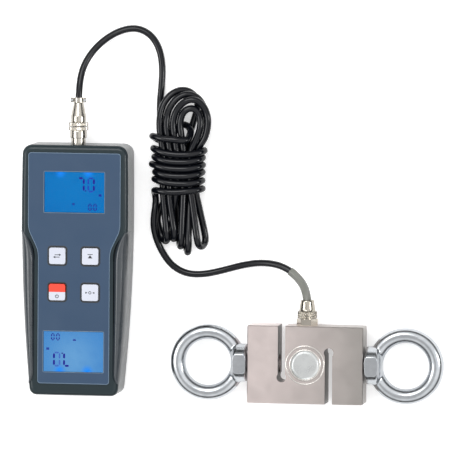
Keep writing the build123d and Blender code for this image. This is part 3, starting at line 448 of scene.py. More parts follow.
@dataclass(frozen=True)
class SplitFinish(Finish):
    """A key cap in two colours, red above a line and white below it, in one moulding."""

    upper: str = "E2402C"
    line_y: float = 0.0  # height of the line in the meter's frame

    def tint(self, tree: Tree) -> Any:
        """The colour below the line, and the upper one above it.

        Args:
            tree: the material's node tree.

        Returns:
            The colour socket.
        """
        lower = super().tint(tree)
        where = add(tree, "TexCoord")
        y = add(tree, "SeparateXYZ", {}, {0: where.outputs["Object"]}).outputs["Y"]
        edge = (self.line_y - PART_ORIGIN[1]) * MM
        above = add(tree, "Math", {"operation": "GREATER_THAN", 1: edge}, {0: y}).outputs[0]
        return mixed(tree, lower, linear(self.upper), above)


@dataclass(frozen=True)
class LitGlass(Finish):
    """Display glass lit from behind: blue light, with brighter spots over its two lamps."""

    centre: Point = (0.0, 0.0, 0.0)
    spot: str = "1A90FF"
    corner: str = "1058B8"
    level: float = 1.0
    lamp_side: float = 1.0  # +1 with the lamps at the far edge, -1 at the near one
    half_height: float = 12.2
    glow_shift: float = 4.0  # from the middle towards the lamps
    glow_reach: float = 26.0
    lamp_spacing: float = 18.4
    lamp_outset: float = 0.6
    lamp_reach: float = 5.2

    def fall(self, tree: Tree, x: float, y: float, reach: float) -> Any:
        """How near a point of the glass is to a place on it: 1 at the place, 0 at the reach.

        Args:
            tree: the material's node tree.
            x: the place across the meter.
            y: the place along it.
            reach: how far its light goes, in millimetres.

        Returns:
            The socket of the nearness.
        """
        centre = placed((x, y, self.centre[2]))
        where = add(tree, "TexCoord").outputs["Object"]
        gap = add(tree, "VectorMath", {"operation": "DISTANCE", 1: tuple(centre)}, {0: where})
        settings = {"interpolation_type": "SMOOTHSTEP", "From Min": 0.0,
                    "From Max": reach * MM, "To Min": 1.0, "To Max": 0.0}
        return add(tree, "MapRange", settings, {"Value": gap.outputs["Value"]}).outputs[0]

    def build(self, tree: Tree) -> bpy.types.Node:
        """Builds the glow: a mid blue, deeper away from the middle, with two bright spots.

        Args:
            tree: the material's empty node tree.

        Returns:
            The shader node.
        """
        x, y, _ = self.centre
        glow = mixed(tree, linear(self.shade), linear(self.colour),
                     self.fall(tree, x, y + self.glow_shift * self.lamp_side, self.glow_reach))
        edge = y + self.lamp_side * (self.half_height + self.lamp_outset)
        for side in (-1, 1):
            near = self.fall(tree, x + side * self.lamp_spacing / 2, edge, self.lamp_reach)
            glow = mixed(tree, glow, linear(self.spot), near)
        sparkle = self.noise(tree, 6.0, 2.0)
        uneven = add(tree, "MapRange", {"From Min": 0.5, "From Max": 0.95, "To Max": 0.35},
                     {"Value": sparkle}).outputs[0]
        glow = mixed(tree, glow, linear(self.corner), uneven)
        settings = {"Roughness": 0.25, "Emission Strength": self.level,
                    "Specular IOR Level": 0.05, "Base Color": (0, 0, 0, 1)}
        return add(tree, "BsdfPrincipled", settings, {"Emission Color": glow})


@dataclass(frozen=True)
class ClearFinish(Finish):
    """Clear cast acrylic, polished."""

    def build(self, tree: Tree) -> bpy.types.Node:
        """Builds a thin clear pane that keeps its gloss and casts no shadow.

        Args:
            tree: the material's empty node tree.

        Returns:
            The shader node.
        """
        clear = add(tree, "BsdfTransparent", {"Color": linear(self.colour)})
        shine = add(tree, "BsdfGlossy", {"Roughness": self.roughness})
        rim = add(tree, "Fresnel", {"IOR": 1.45})
        part = add(tree, "Math", {"operation": "MULTIPLY", 1: 0.3}, {0: rim.outputs[0]})
        return add(tree, "MixShader", {}, {0: part.outputs[0], 1: clear.outputs[0],
                                           2: shine.outputs[0]})


@dataclass(frozen=True)
class PaintedShadeFinish(Finish):
    """Plated steel, ground on its faces, with painted shade on its slots' walls and painted shade that
    darkens its faces towards +X.

    Attributes:
        slot_painted_shade: painted shade, the colour of the slots' walls.
        far_painted_shade: the painted shade that the faces drift to along X, darker towards +X.
        middle_x: the x of the body's middle.
        reach: how far from the middle the slots' walls stand.
        drift: where the drift begins and ends, from the middle.
        steep: a face whose normal has less than this along Z is a wall.
        end_wall: a wall whose normal has more than this along Y is an outside one.
    """

    # painted shade: the dark colour of the slots' walls, where shade falls in the slots
    slot_painted_shade: str = "5F5B58"
    # painted shade: the colour that the faces darken to towards +X
    far_painted_shade: str = "A8A39F"
    middle_x: float = 151.5
    reach: float = 20.0
    drift: Spot = (-30.0, 38.0)
    steep: float = 0.6
    end_wall: float = 0.995

    def tint(self, tree: Tree) -> Any:
        """The face's colour, drifting to painted shade towards +X, and painted shade on the slots'
        walls where a wall stands near the middle.

        Args:
            tree: the material's node tree.

        Returns:
            The colour socket.
        """
        x = add(tree, "SeparateXYZ", {}, {0: add(tree, "TexCoord").outputs["Object"]})
        # painted shade: the faces darken along +X
        ends = {"From Min": (self.middle_x + self.drift[0] - PART_ORIGIN[0]) * MM,
                "From Max": (self.middle_x + self.drift[1] - PART_ORIGIN[0]) * MM}
        drift = add(tree, "MapRange", ends, {"Value": x.outputs["X"]}).outputs[0]
        face = mixed(tree, super().tint(tree), linear(self.far_painted_shade), drift)
        up = add(tree, "SeparateXYZ", {}, {0: add(tree, "NewGeometry").outputs["Normal"]})
        middle = (self.middle_x - PART_ORIGIN[0]) * MM
        gap = add(tree, "Math", {"operation": "SUBTRACT", 1: middle}, {0: x.outputs["X"]})
        tests = []
        for source, most in ((up.outputs["Z"], self.steep), (gap.outputs[0], self.reach * MM),
                             (up.outputs["Y"], self.end_wall)):
            size = add(tree, "Math", {"operation": "ABSOLUTE"}, {0: source}).outputs[0]
            tests.append(add(tree, "Math", {"operation": "LESS_THAN", 1: most}, {0: size}))
        # the mask of the slots' walls near the middle, which get painted shade
        wall, near, side = (test.outputs[0] for test in tests)
        both = add(tree, "Math", {"operation": "MULTIPLY"}, {0: wall, 1: near}).outputs[0]
        both = add(tree, "Math", {"operation": "MULTIPLY"}, {0: both, 1: side}).outputs[0]
        return mixed(tree, face, linear(self.slot_painted_shade), both)


# Grain is 0.2 to 0.35 mm on the mouldings with a spark texture and on turned and ground metal,
# and 0.5 mm elsewhere. Real tool marks are finer than that, and are drawn as coarse as they
# need to be to show. Its height is a few microns, or 20 on rubber and nylon.

# Moulded ABS, spark-textured: dark grey-green, with a soft broad shine on its edges.
CASE = Finish("moulded_abs_dark", "273236", "242E32", 0.22, grain=0.35, depth=0.004,
              gloss_spread=0.04, specular=0.26)
# Overmoulded thermoplastic rubber: nearly black, with one long highlight on its swell.
GRIP = Finish("soft_grip_rubber", "2F363C", "2A3137", 0.3, grain=0.3, depth=0.005,
              specular=0.75)
# Screen-printed polyester film: flat satin slate blue. A low bead in a paler colour runs round its edge
# and its windows, a painted highlight along those edges.
LABEL = Finish("printed_polyester_film", "31465F", "354961", 0.4, grain=0.25, depth=0.004,
               specular=0.28)
# painted highlight: the pale colour of the bead along the label's and the windows' edges
EDGE_HIGHLIGHT = Finish("printed_edge_line", "6F8497", "677C8F", 0.4, grain=0.4, depth=0.004)
# Cast acrylic panes, hardly seen but for their gloss, over milky acrylic light blocks.
WINDOW = ClearFinish("clear_acrylic", "F4F8FC", "F4F8FC", 0.05)
BACKLIGHT = Finish("milky_acrylic", "DDE6EE", "D2DCE6", 0.5)
# Glass of the displays, lit from behind: deep blue above, paler below, bright at the lamps.
UPPER_GLASS = LitGlass("lit_glass_upper", "0B7DC6", "0878C2", 0.25, centre=(0, 133.2, 30.0),
                       lamp_side=1.0, corner="0A4C9C")
LOWER_GLASS = LitGlass("lit_glass_lower", "6AA5D8", "4C90D0", 0.25, centre=(0, 28.8, 30.0),
                       lamp_side=-1.0, corner="3A7EC6")
# Liquid crystal: the bars that are on are dark violet, and the fading ones hardly show.
SEGMENT = Finish("liquid_crystal_dark", "1C1284", "20168C", 0.35, depth=0.001, specular=0.1)
UPPER_FADE = Finish("liquid_crystal_fading", "1A3FA6", "1E47AC", 0.35, depth=0.001, specular=0.1)
LOWER_FADE = Finish("liquid_crystal_pale", "4468B4", "4A70BA", 0.35, depth=0.001, specular=0.1)
# Moulded silicone keys: cold white and half matt, one of them red above its middle.
KEY_WHITE = Finish("white_silicone_key", "C9CDD9", "C4C8D4", 0.45, grain=0.3, depth=0.008)
KEY_RED = SplitFinish("two_shot_key", "C9CDD9", "C4C8D4", 0.45, grain=0.3, depth=0.008,
                      upper="E63E26", line_y=67.9)
KEYPAD = Finish("dark_silicone", "2C3034", "25292C", 0.6)
# Black screen ink, slightly raised, for the keys' signs. The same black, as a low ring round each key,
# is painted shade in the gap round it.
INK_AND_KEY_SHADE = Finish("black_screen_ink", "1E2226", "23272B", 0.5, depth=0.004)
# Inside the case: solder mask with a wet look, dull epoxy, varnished jackets, sprung steel.
BOARD = Finish("green_solder_mask", "1F5B39", "1A4D30", 0.3, grain=0.4, depth=0.01, coat=0.4)
CHIP = Finish("moulded_epoxy", "1B1B1D", "242426", 0.55, grain=0.15)
BATTERY = Finish("printed_battery_jacket", "3B6F4A", "356243", 0.35, coat=0.5)
CONTACT = Finish("nickel_spring_steel", "C9C7C2", "BDBBB6", 0.25, 1.0, depth=0.004)
SCREW = Finish("zinc_plated_steel", "B9BCBE", "A7AAAD", 0.3, 1.0, grain=0.3, depth=0.01)
# Nickel over turned brass: warm and bright, with fine marks across the axis.
CONNECTOR = Finish("turned_nickel_plate", "BDB8AF", "B0ABA2", 0.18, 1.0, grain=0.25,
                   stretch=(0.25, 4.0, 0.25), depth=0.004, gloss_spread=0.04)
INSULATOR = Finish("moulded_nylon", "22242A", "2A2C32", 0.45)
BRASS = Finish("gilt_brass", "D9B866", "CFAE5C", 0.22, 1.0)
# Nickel-plated tool steel, ground along X: pale and faintly pink. Painted shade darkens it to the right
# and darkens its slots' walls.
# Its turned land is brighter.
CELL = PaintedShadeFinish("ground_nickel_plate", "DDD0CD", "D3C7C4", 0.34, 1.0, patch=22.0,
                    grain=0.28, stretch=(0.06, 1.0, 1.0), depth=0.006, gloss_spread=0.05)
LAND = Finish("turned_bright_land", "D6D2CD", "CFCBC6", 0.26, 1.0, grain=0.3, depth=0.003)
# Spun steel cap: silvery and soft, and over the gauges an amber foil film.
COVER = Finish("spun_steel_cap", "DDDFDE", "D4D6D6", 0.3, 1.0, grain=0.2, depth=0.004)
FOIL = Finish("gauge_foil_film", "C8924C", "B9823F", 0.3, 0.4)
# Nickel plate on the gland: a smooth warm mirror, and a dull black seal. The body's copy of the plate
# is paler than the nut's, a painted reflection of its bright hex faces.
GLAND = Finish("polished_nickel_plate", "B9B3A8", "ABA59A", 0.16, 1.0, grain=0.3, depth=0.003)
GLAND_BODY_REFLECTION = Finish("satin_nickel_plate", "CFC8BD", "C2BBAF", 0.14, 1.0, grain=0.3, depth=0.003)
SEAL = Finish("black_nitrile", "1D1E20", "26282A", 0.6)
# Drop-forged steel, bright zinc plated: cool, with the soft 2 mm unevenness of a forging.
ZINC = Finish("forged_zinc_plate", "C6C9CD", "B6BABE", 0.22, 1.0, patch=9.0, grain=2.2,
              depth=0.008, gloss_spread=0.05)
# Shrunk polyolefin: mid grey, with a soft sheen on its ribs.
SLEEVE = Finish("grey_shrink_sleeve", "868781", "6F706A", 0.2, grain=0.5, depth=0.02)
# Extruded PVC: smooth near-black with a thin clear highlight along each strand.
JACKET = Finish("black_pvc_jacket", "080A10", "0A0C12", 0.13, grain=0.6, depth=0.003,
                gloss_spread=0.03, specular=0.34)


# ---- the view, the floor and the light ------------------------------------------------
@dataclass
class Studio:
    """A pale floor, soft lamps and the camera above the bench.

    Attributes:
        aim: the point that the camera and the lamps face, in the meter's frame.
        span: the width of the view at the aim, in millimetres.
        distance: the camera's distance from the aim.
        yaw: the lean of its line of sight towards +X, in degrees.
        pitch: the lean towards +Y.
        roll: its turn about that line.
        floor_reach: half the floor's side.
        floor_drop: how far it lies under the part.
        floor_glow: the light that the floor gives to the eye and to reflections.
        floor_lift: what the eye sees more.
        sky: the world's level high up.
        horizon: its level near the floor.
        rise: the heights between which it brightens.
        overhead: the share that is left of it straight above.
        dim: how far from its middle the dim patch is dim, and from where the sky is bright.
        dim_shift: what is added to a direction first, so the patch moves to -X and -Y.
        dim_scale: what a direction is multiplied by, so the patch is longer along Y.
        lamps: each lamp's name, place, side in metres and power in watts.
    """

    aim: Point = (98.2, 113.1, 22.0)
    span: float = 293.0
    distance: float = 4500.0
    yaw: float = 8.6
    pitch: float = 4.3
    roll: float = 0.45
    floor_reach: float = 3000.0
    floor_drop: float = 0.05
    floor_glow: float = 0.3
    floor_lift: float = 0.16
    sky: float = 1.25
    horizon: float = 0.04
    rise: Spot = (0.22, 0.75)
    overhead: float = 0.5
    dim: Spot = (0.1, 0.36)
    dim_shift: Point = (0.15, 0.04, 0)
    dim_scale: Point = (1, 0.5, 0)
    lamps: tuple[tuple[str, Point, float, float], ...] = (
        ("key_softbox", (-75, 500, 810), 0.4, 2.2),
        ("left_strip", (-520, 60, 640), 0.36, 1.8),
        ("right_strip", (760, 120, 430), 0.16, 1.1))

    def camera(self) -> None:
        """Places the camera: its line of sight leans by yaw towards +X and by pitch to +Y."""
        yaw, pitch = math.radians(self.yaw), math.radians(self.pitch)
        back = np.array((math.sin(yaw), math.cos(yaw) * math.sin(pitch),
                         math.cos(yaw) * math.cos(pitch)))
        right = np.cross((0.0, 1.0, 0.0), back)
        right /= np.linalg.norm(right)
        up = np.cross(back, right)
        turn = math.radians(self.roll)
        right, up = (right * math.cos(turn) + up * math.sin(turn),
                     up * math.cos(turn) - right * math.sin(turn))
        spot = placed(self.aim) + back * self.distance * MM
        lens = bpy.data.cameras.new("bench_camera")
        lens.sensor_fit = "HORIZONTAL"
        lens.angle = 2 * math.atan(self.span / 2 / self.distance)
        lens.clip_start, lens.clip_end = 0.01, 20.0
        camera = bpy.data.objects.new("bench_camera", lens)
        bpy.context.scene.collection.objects.link(camera)
        frame = np.eye(4)
        frame[:3, 0], frame[:3, 1], frame[:3, 2], frame[:3, 3] = right, up, back, spot
        camera.matrix_world = Matrix(frame.tolist())
        bpy.context.scene.camera = camera

    def floor(self) -> None:
        """A wide white floor, bright to the eye and in reflections, that keeps soft shadows."""
        reach = self.floor_reach
        mesh = bpy.data.meshes.new("floor")
        corners = [(-reach, -reach, 0), (reach, -reach, 0), (reach, reach, 0), (-reach, reach, 0)]
        mesh.from_pydata(placed(corners) - (0, 0, self.floor_drop * MM), [], [(0, 1, 2, 3)])
        floor = bpy.data.objects.new("floor", mesh)
        bpy.context.scene.collection.objects.link(floor)
        paint = bpy.data.materials.new("white_matt_paint")
        paint.use_nodes = True
        tree = paint.node_tree
        tree.nodes.clear()
        seen = add(tree, "LightPath")
        either = add(tree, "Math", {"operation": "ADD", "use_clamp": True},
                     {0: seen.outputs["Is Camera Ray"], 1: seen.outputs["Is Glossy Ray"]})
        either = add(tree, "Math", {"operation": "ADD", "use_clamp": True},
                     {0: either.outputs[0], 1: seen.outputs["Is Transmission Ray"]})
        lift = add(tree, "Math", {"operation": "MULTIPLY", 1: self.floor_glow},
                   {0: either.outputs[0]})
        more = add(tree, "Math", {"operation": "MULTIPLY", 1: self.floor_lift},
                   {0: seen.outputs["Is Camera Ray"]})
        lift = add(tree, "Math", {"operation": "ADD"}, {0: lift.outputs[0], 1: more.outputs[0]})
        matt = add(tree, "BsdfPrincipled", {"Base Color": linear("F2F2F2"), "Roughness": 0.9,
                                            "Emission Color": (1, 1, 1, 1),
                                            "Specular IOR Level": 0.0},
                   {"Emission Strength": lift.outputs[0]})
        add(tree, "OutputMaterial", {}, {"Surface": matt.outputs[0]})
        mesh.materials.append(paint)

    def lamp(self, name: str, spot: Point, size: float, power: float) -> None:
        """One square soft lamp that faces the middle of the bench.

        Args:
            name: the lamp's name.
            spot: its place in the meter's frame.
            size: its side in metres.
            power: its power in watts.
        """
        data = bpy.data.lights.new(name, "AREA")
        data.shape, data.size, data.energy = "SQUARE", size, power
        lamp = bpy.data.objects.new(name, data)
        bpy.context.scene.collection.objects.link(lamp)
        there = Vector(placed(spot))
        lamp.location = there
        lamp.rotation_euler = (Vector(placed(self.aim)) - there).to_track_quat("-Z", "Y").to_euler()

    def light(self) -> None:
        """Soft lamps, and a sky dim at the horizon and straight above, bright between them."""
        scene = bpy.context.scene
        scene.view_settings.view_transform = "Standard"
        world = scene.world or bpy.data.worlds.new("room")
        scene.world = world
        world.use_nodes = True
        tree = world.node_tree
        tree.nodes.clear()
        where = add(tree, "TexCoord")
        z = add(tree, "SeparateXYZ", {}, {0: where.outputs["Generated"]}).outputs["Z"]
        there = add(tree, "Mapping", {"Location": self.dim_shift, "Scale": self.dim_scale},
                    {"Vector": where.outputs["Generated"]})
        aside = add(tree, "VectorMath", {"operation": "LENGTH"}, {0: there.outputs[0]})
        settings = {"interpolation_type": "SMOOTHSTEP", "From Min": self.dim[0],
                    "From Max": self.dim[1], "To Min": self.overhead, "To Max": 1.0}
        gap = add(tree, "MapRange", settings, {"Value": aside.outputs["Value"]}).outputs[0]
        settings = {"interpolation_type": "SMOOTHSTEP", "From Min": self.rise[0],
                    "From Max": self.rise[1], "To Min": self.horizon, "To Max": self.sky}
        level = add(tree, "MapRange", settings, {"Value": z}).outputs[0]
        level = add(tree, "Math", {"operation": "MULTIPLY"}, {0: level, 1: gap}).outputs[0]
        sky = add(tree, "Background", {"Color": (1, 1, 1, 1)}, {"Strength": level})
        add(tree, "OutputWorld", {}, {"Surface": sky.outputs[0]})
        for lamp in self.lamps:
            self.lamp(*lamp)


# ---- the cable ------------------------------------------------------------------------
class Layer(Enum):
    """The two layers of strands under the turns, by the height of their middle lines."""

    LOW = 6.9
    HIGH = 11.4


@dataclass(frozen=True)
class Strand:
    """A strand through the bound middle: its column, its layer and its foot at a fold."""

    column: float  # 0 at the left to 4 at the right
    layer: Layer
    foot: Point


@dataclass
class Cable:
    """The black cable, one spline from the gland to the plug, with the hank in between.

    The hank is five long loops bound by seven turns. Four wide arches join their strands at
    the top, and five narrow folds at the bottom, each from a front strand to a back one.

    Attributes:
        diameter: its thickness.
        real_length: its length in metres.
        lower_route: the lead from the gland to the hank.
        upper_route: the lead from the plug to the hank.
        columns: the x of the strands under the turns.
        bound: the y of a strand's points under the turns, from the top.
        leave_y: where a strand leaves the turns.
        ease: how far before its foot a strand reaches the foot's height.
        wrap_middle: the x and z round which the turns run.
        wrap_half: their half width and half height.
        wrap_square: the power that squares them off.
        wrap_heights: the y of each turn.
        wrap_spread: how much wider each turn is.
        wrap_steps: points on a turn.
        wrap_end: the share of the last turn that is left out.
        wrap_bow: how far a turn's ends stand above its middle.
        wrap_lean: how far its right end is lower than its left.
        wrap_sway: a slow unevenness of the turns, its size and its rate.
        tail_drop: how steeply the last turn leaves, and from which turn on.
        pulled: how far one turn stands out at the left, which one, and over how much of it.
        left_way: from the plug's lead through the middle to the first fold.
        first_fold: its beginning, its far point and its end.
        first_strand: the strand that follows it.
        arches: the wide bends at the top.
        loops: each long loop's strand down, its fold's far point and its strand up.
        last_way: from the last loop to the turns.
        clearance: how far apart strands are pushed, in diameters.
        neighbour: the length of line, in diameters, within which nothing is pushed.
        haste: the share of a push that is taken in one round.
        stiffness: the share of a bend that is eased in one round.
        bench_gap: how far it stays above the bench.
        samples: samples of a span in settling.
        free_ends: how many of the upper and of the lower lead's last points may settle.
    """

    diameter: float = 4.5
    real_length: float = 1.85
    lower_route: tuple[Point, ...] = (
        (151.5, 56.5, 12.5), (151.5, 68.5, 12.5), (145.6, 79.4, 12.3), (134.2, 86.4, 9.6),
        (120.8, 88.0, 6.0), (107.4, 85.8, 3.4), (94.4, 82.0, 2.4), (82.0, 79.0, 2.3),
        (70.2, 79.0, 2.3), (60.2, 84.2, 2.3), (53.8, 93.0, 2.6), (50.2, 101.6, 4.4),
        (48.6, 109.6, 6.6), (48.8, 116.6, 7.0), (49.5, 122.2, 6.4), (49.9, 127.0, 5.3),
        (49.5, 131.2, 6.3))
    upper_route: tuple[Point, ...] = (
        (0, 187.1, 16), (0, 199.8, 16), (1.6, 212.5, 13.4), (6.2, 222.4, 10.2),
        (14.4, 231.6, 6.6), (25.2, 238.2, 3.6), (36.2, 240.0, 2.5), (45.6, 235.4, 2.3),
        (51.4, 225.8, 2.3), (53.2, 213.6, 2.3), (52.6, 202.2, 2.3), (51.6, 191.4, 2.4),
        (51.4, 181.0, 4.2), (53.0, 170.6, 6.6))
    columns: tuple[float, ...] = (55.3, 60.0, 64.7, 69.4, 74.4)
    bound: tuple[float, ...] = (161.0, 152.0, 143.0, 134.0)
    leave_y: float = 126.0
    ease: float = 6.0
    wrap_middle: Spot = (64.9, 9.15)
    wrap_half: Spot = (15.2, 6.95)
    wrap_square: float = 0.8
    wrap_heights: tuple[float, ...] = (167.6, 158.6, 153.4, 148.6, 143.7, 138.8, 134.2)
    wrap_spread: tuple[float, ...] = (1.2, 1.7, 0.6, 0.2, -0.1, 0.3, 0.5, 0.5)
    wrap_steps: int = 16
    wrap_end: float = 0.7
    wrap_bow: float = 2.6
    wrap_lean: float = 1.6
    wrap_sway: Spot = (0.5, 5.3)
    tail_drop: Spot = (17.0, 5.95)
    pulled: Point = (2.6, 3.25, 0.2)
    left_way: tuple[Point, ...] = (
        (54.8, 161.0, 6.9), (55.2, 152.0, 6.9), (55.4, 143.0, 6.9), (55.6, 134.6, 6.2),
        (53.4, 127.0, 3.6), (49.6, 120.6, 2.4), (47.6, 114.0, 2.3), (48.6, 108.2, 2.3))
    first_fold: tuple[Point, Point, Point] = (
        (50.2, 103.0, 2.4), (55.4, 99.0, 7.1), (57.4, 105.4, 12.0))
    first_strand: Strand = Strand(0, Layer.HIGH, (57.4, 105.4, 12.0))
    arches: tuple[tuple[Point, ...], ...] = (
        ((53.4, 171.0, 11.2), (52.9, 178.5, 11.0), (53.7, 186.0, 10.2), (56.8, 193.0, 9.0),
         (61.8, 198.0, 7.6), (68.2, 199.8, 6.0), (74.2, 197.4, 4.6), (77.8, 192.0, 3.0),
         (77.0, 184.8, 2.3), (75.0, 177.8, 2.3), (73.4, 170.8, 2.5), (72.4, 164.4, 4.8)),
        ((58.0, 171.0, 11.4), (57.3, 178.5, 11.4), (58.5, 185.8, 11.2), (61.8, 191.8, 10.8),
         (66.6, 196.2, 10.2), (72.6, 197.6, 9.4), (78.6, 195.0, 8.4), (82.6, 189.0, 7.4),
         (83.0, 181.6, 6.6), (81.0, 174.4, 5.8), (78.2, 167.6, 5.4)),
        ((62.6, 171.0, 11.6), (61.9, 178.5, 11.8), (63.3, 185.2, 12.2), (66.8, 190.4, 12.6),
         (71.6, 194.0, 12.8), (77.2, 193.8, 12.4), (81.8, 189.0, 11.8), (83.6, 182.2, 11.2),
         (82.9, 175.4, 10.2), (80.6, 168.4, 8.6)),
        ((67.4, 171.0, 11.6), (66.4, 177.4, 12.0), (67.2, 183.6, 12.6), (70.4, 188.0, 12.8),
         (75.4, 189.0, 12.2), (79.6, 185.4, 11.4), (80.8, 178.2, 11.2), (78.8, 170.2, 11.4)))
    loops: tuple[tuple[Strand, Point, Strand], ...] = (
        (Strand(3, Layer.LOW, (70.4, 98.4, 2.4)), (72.1, 93.1, 7.4),
         Strand(4, Layer.LOW, (73.8, 98.4, 12.4))),
        (Strand(1, Layer.HIGH, (63.2, 107.2, 12.4)), (61.5, 101.9, 7.4),
         Strand(2, Layer.HIGH, (59.8, 107.2, 2.4))),
        (Strand(4.6, Layer.LOW, (81.6, 102.6, 2.4)), (79.9, 97.3, 7.4),
         Strand(4.6, Layer.HIGH, (78.2, 102.6, 12.4))),
        (Strand(3, Layer.HIGH, (68.2, 102.2, 12.4)), (66.5, 96.9, 7.4),
         Strand(1.6, Layer.LOW, (64.8, 102.2, 2.4))))
    last_way: tuple[Point, ...] = (
        (61.2, 167.0, 6.6), (62.0, 172.6, 5.2), (65.4, 176.6, 4.2), (70.4, 176.8, 4.8),
        (74.0, 173.6, 7.4), (74.2, 169.0, 11.2), (71.4, 166.6, 15.0))
    clearance: float = 1.02
    neighbour: float = 2.6
    haste: float = 0.8
    stiffness: float = 0.12
    bench_gap: float = 0.03
    samples: int = 3
    free_ends: tuple[int, int] = (2, 4)
    rounds: tuple[int, int] = (160, 30)

    def down(self, strand: Strand) -> np.ndarray:
        """One strand through the bound middle and on to a fold below it.

        Args:
            strand: its column, layer and foot.

        Returns:
            Its points, from the top to the foot.
        """
        foot, last = strand.foot, self.bound[-1]
        y = np.concatenate((self.bound, np.linspace(self.leave_y, foot[1] + self.ease, 3)))
        middle = float(np.interp(strand.column, range(len(self.columns)), self.columns))
        x = np.interp(y, (foot[1], last), (foot[0], middle))
        z = np.interp(y, (foot[1] + self.ease, last), (foot[2], strand.layer.value))
        return np.stack((x, y, z), axis=1)

    def fold(self, front: Point, tip: Point, back: Point) -> np.ndarray:
        """A narrow fold: half an ellipse from one strand's foot over its tip to another's.

        Args:
            front: where it begins.
            tip: its far point.
            back: where it ends.

        Returns:
            Five points, the two feet among them.
        """
        first, far, last = (np.array(p, dtype=float) for p in (front, tip, back))
        middle, half = (first + last) / 2, (first - last) / 2
        a = np.linspace(0, math.pi, 5)[:, None]
        return middle + half * np.cos(a) + (far - middle) * np.sin(a)

    def turns(self) -> np.ndarray:
        """The turns round the bundle's middle, from the top one down.

        A turn is a rounded rectangle in x and z; y falls from turn to turn, and the ends of
        each stand higher than its middle. One end stands out where it was pulled tight.

        Returns:
            The turns' points in order.
        """
        t = np.arange(0.0, len(self.wrap_heights) - self.wrap_end, 1 / self.wrap_steps)
        angle = math.pi / 2 + 2 * math.pi * t
        c, s = np.cos(angle), np.sin(angle)
        wide = self.wrap_half[0] + np.interp(t, range(len(self.wrap_spread)), self.wrap_spread)
        x = self.wrap_middle[0] + wide * squared_off(c, self.wrap_square)
        z = self.wrap_middle[1] + self.wrap_half[1] * squared_off(s, self.wrap_square)
        y = np.interp(t, range(len(self.wrap_heights)), self.wrap_heights)
        size, rate = self.wrap_sway
        y = y + self.wrap_bow * c ** 2 - self.wrap_lean * c + size * np.sin(rate * t)
        slope, start = self.tail_drop
        y = y - slope * np.clip(t - start, 0, 1)
        out, turn, width = self.pulled
        x = x - out * np.exp(-((t - turn) / width) ** 2)
        return np.stack((x, y, z), axis=1)

    def loop(self, first: Strand, tip: Point, last: Strand) -> np.ndarray:
        """One long loop: a strand down, a fold, and a strand up.

        Args:
            first: the strand that is passed downwards.
            tip: the fold's far point.
            last: the strand that is passed upwards.

        Returns:
            Its points.
        """
        return np.concatenate((self.down(first), self.fold(first.foot, tip, last.foot),
                               self.down(last)[::-1]))

    def hank(self) -> np.ndarray:
        """All of the hank's points, from the plug's lead to the load cell's.

        Every other loop is entered from the far side, so its arch is passed backwards.

        Returns:
            Rows of x, y, z.
        """
        parts = [np.array(self.left_way), self.fold(*self.first_fold),
                 self.down(self.first_strand)[::-1]]
        for number, (arch, loop) in enumerate(zip(self.arches, self.loops)):
            parts += [np.array(arch)[::-1 if number % 2 else 1], self.loop(*loop)]
        return np.concatenate((*parts, np.array(self.last_way), self.turns()))

    def settle(self, points: np.ndarray, loose: np.ndarray, rounds: int) -> np.ndarray:
        """Pushes strands apart until hardly any lies in another, as cable does when it is bound.

        The line is sampled a few times a span. Samples nearer than a diameter that aren't
        neighbours push each other apart by half of what is missing, the push is shared by the
        points beside them, and each point is drawn a little back to the bend that it had.

        Args:
            points: the route's points.
            loose: 1 where a point may move, 0 where it stays.
            rounds: how often to repeat.

        Returns:
            The settled points.
        """
        count = len(points)
        t = np.linspace(0, count - 1, self.samples * (count - 1) + 1)
        low = np.minimum(t.astype(int), count - 2)
        share = np.zeros((len(t), count))
        share[np.arange(len(t)), low] = 1 - (t - low)
        share[np.arange(len(t)), low + 1] += t - low
        weight = share.sum(axis=0)[:, None]
        rest = points[:-2] + points[2:] - 2 * points[1:-1]
        radius = self.diameter / 2
        for _ in range(rounds):
            line = share @ points
            along = np.concatenate(((0,), np.cumsum(np.linalg.norm(np.diff(line, axis=0), axis=1))))
            gap = line[:, None] - line[None]
            far = np.linalg.norm(gap, axis=2) + 1e-6
            apart = np.abs(along[:, None] - along[None]) > self.neighbour * self.diameter
            near = apart & (far < self.diameter * self.clearance)
            short = self.diameter * self.clearance - far
            push = np.where(near, short / far * 0.5, 0)[..., None] * gap
            hits = np.maximum(near.sum(axis=1), 1)[:, None]
            step = share.T @ (push.sum(axis=1) / np.sqrt(hits)) / weight
            points = points + self.haste * step * loose[:, None]
            bend = points[:-2] + points[2:] - 2 * points[1:-1] - rest
            points[1:-1] += self.stiffness * bend * loose[1:-1, None]
            points[:, 2] = np.maximum(points[:, 2], radius + self.bench_gap)
        return points

    def route(self) -> np.ndarray:
        """The whole line, of which the hank and the ends of both leads may settle.

        Returns:
            Its points in the meter's frame, from the gland to the plug.
        """
        hank = self.hank()
        upper, lower = np.array(self.upper_route), np.array(self.lower_route)
        points = np.concatenate((upper, hank, lower[::-1]))
        loose = np.zeros(len(points))
        first, last = self.free_ends
        loose[len(upper) - first:len(points) - len(lower) + last] = 1
        points = self.settle(points, loose, self.rounds[0])
        return points[::-1]

    def build(self) -> bpy.types.Object:
        """Makes the cable as one NURBS spline, which stands for the leads and the hank.

        Returns:
            The cable.
        """
        data = bpy.data.curves.new("cable", "CURVE")
        data.dimensions = "3D"
        points = placed(self.route())
        spline = data.splines.new("NURBS")
        spline.points.add(len(points) - 1)
        spline.points.foreach_set("co", np.column_stack((points, np.ones(len(points)))).ravel())
        spline.order_u = 3
        spline.use_endpoint_u = True
        data.bevel_depth = self.diameter / 2 * MM
        data.bevel_resolution = 4
        data.resolution_u = 5
        data.use_fill_caps = True
        cable = bpy.data.objects.new("cable", data)
        bpy.context.scene.collection.objects.link(cable)
        data.materials.append(JACKET.material())
        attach(cable, "root")
        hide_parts("cable_hank", "cable_lead_upper", "cable_lead_lower")
        log.info("made the cable from %d points", len(points))
        return cable

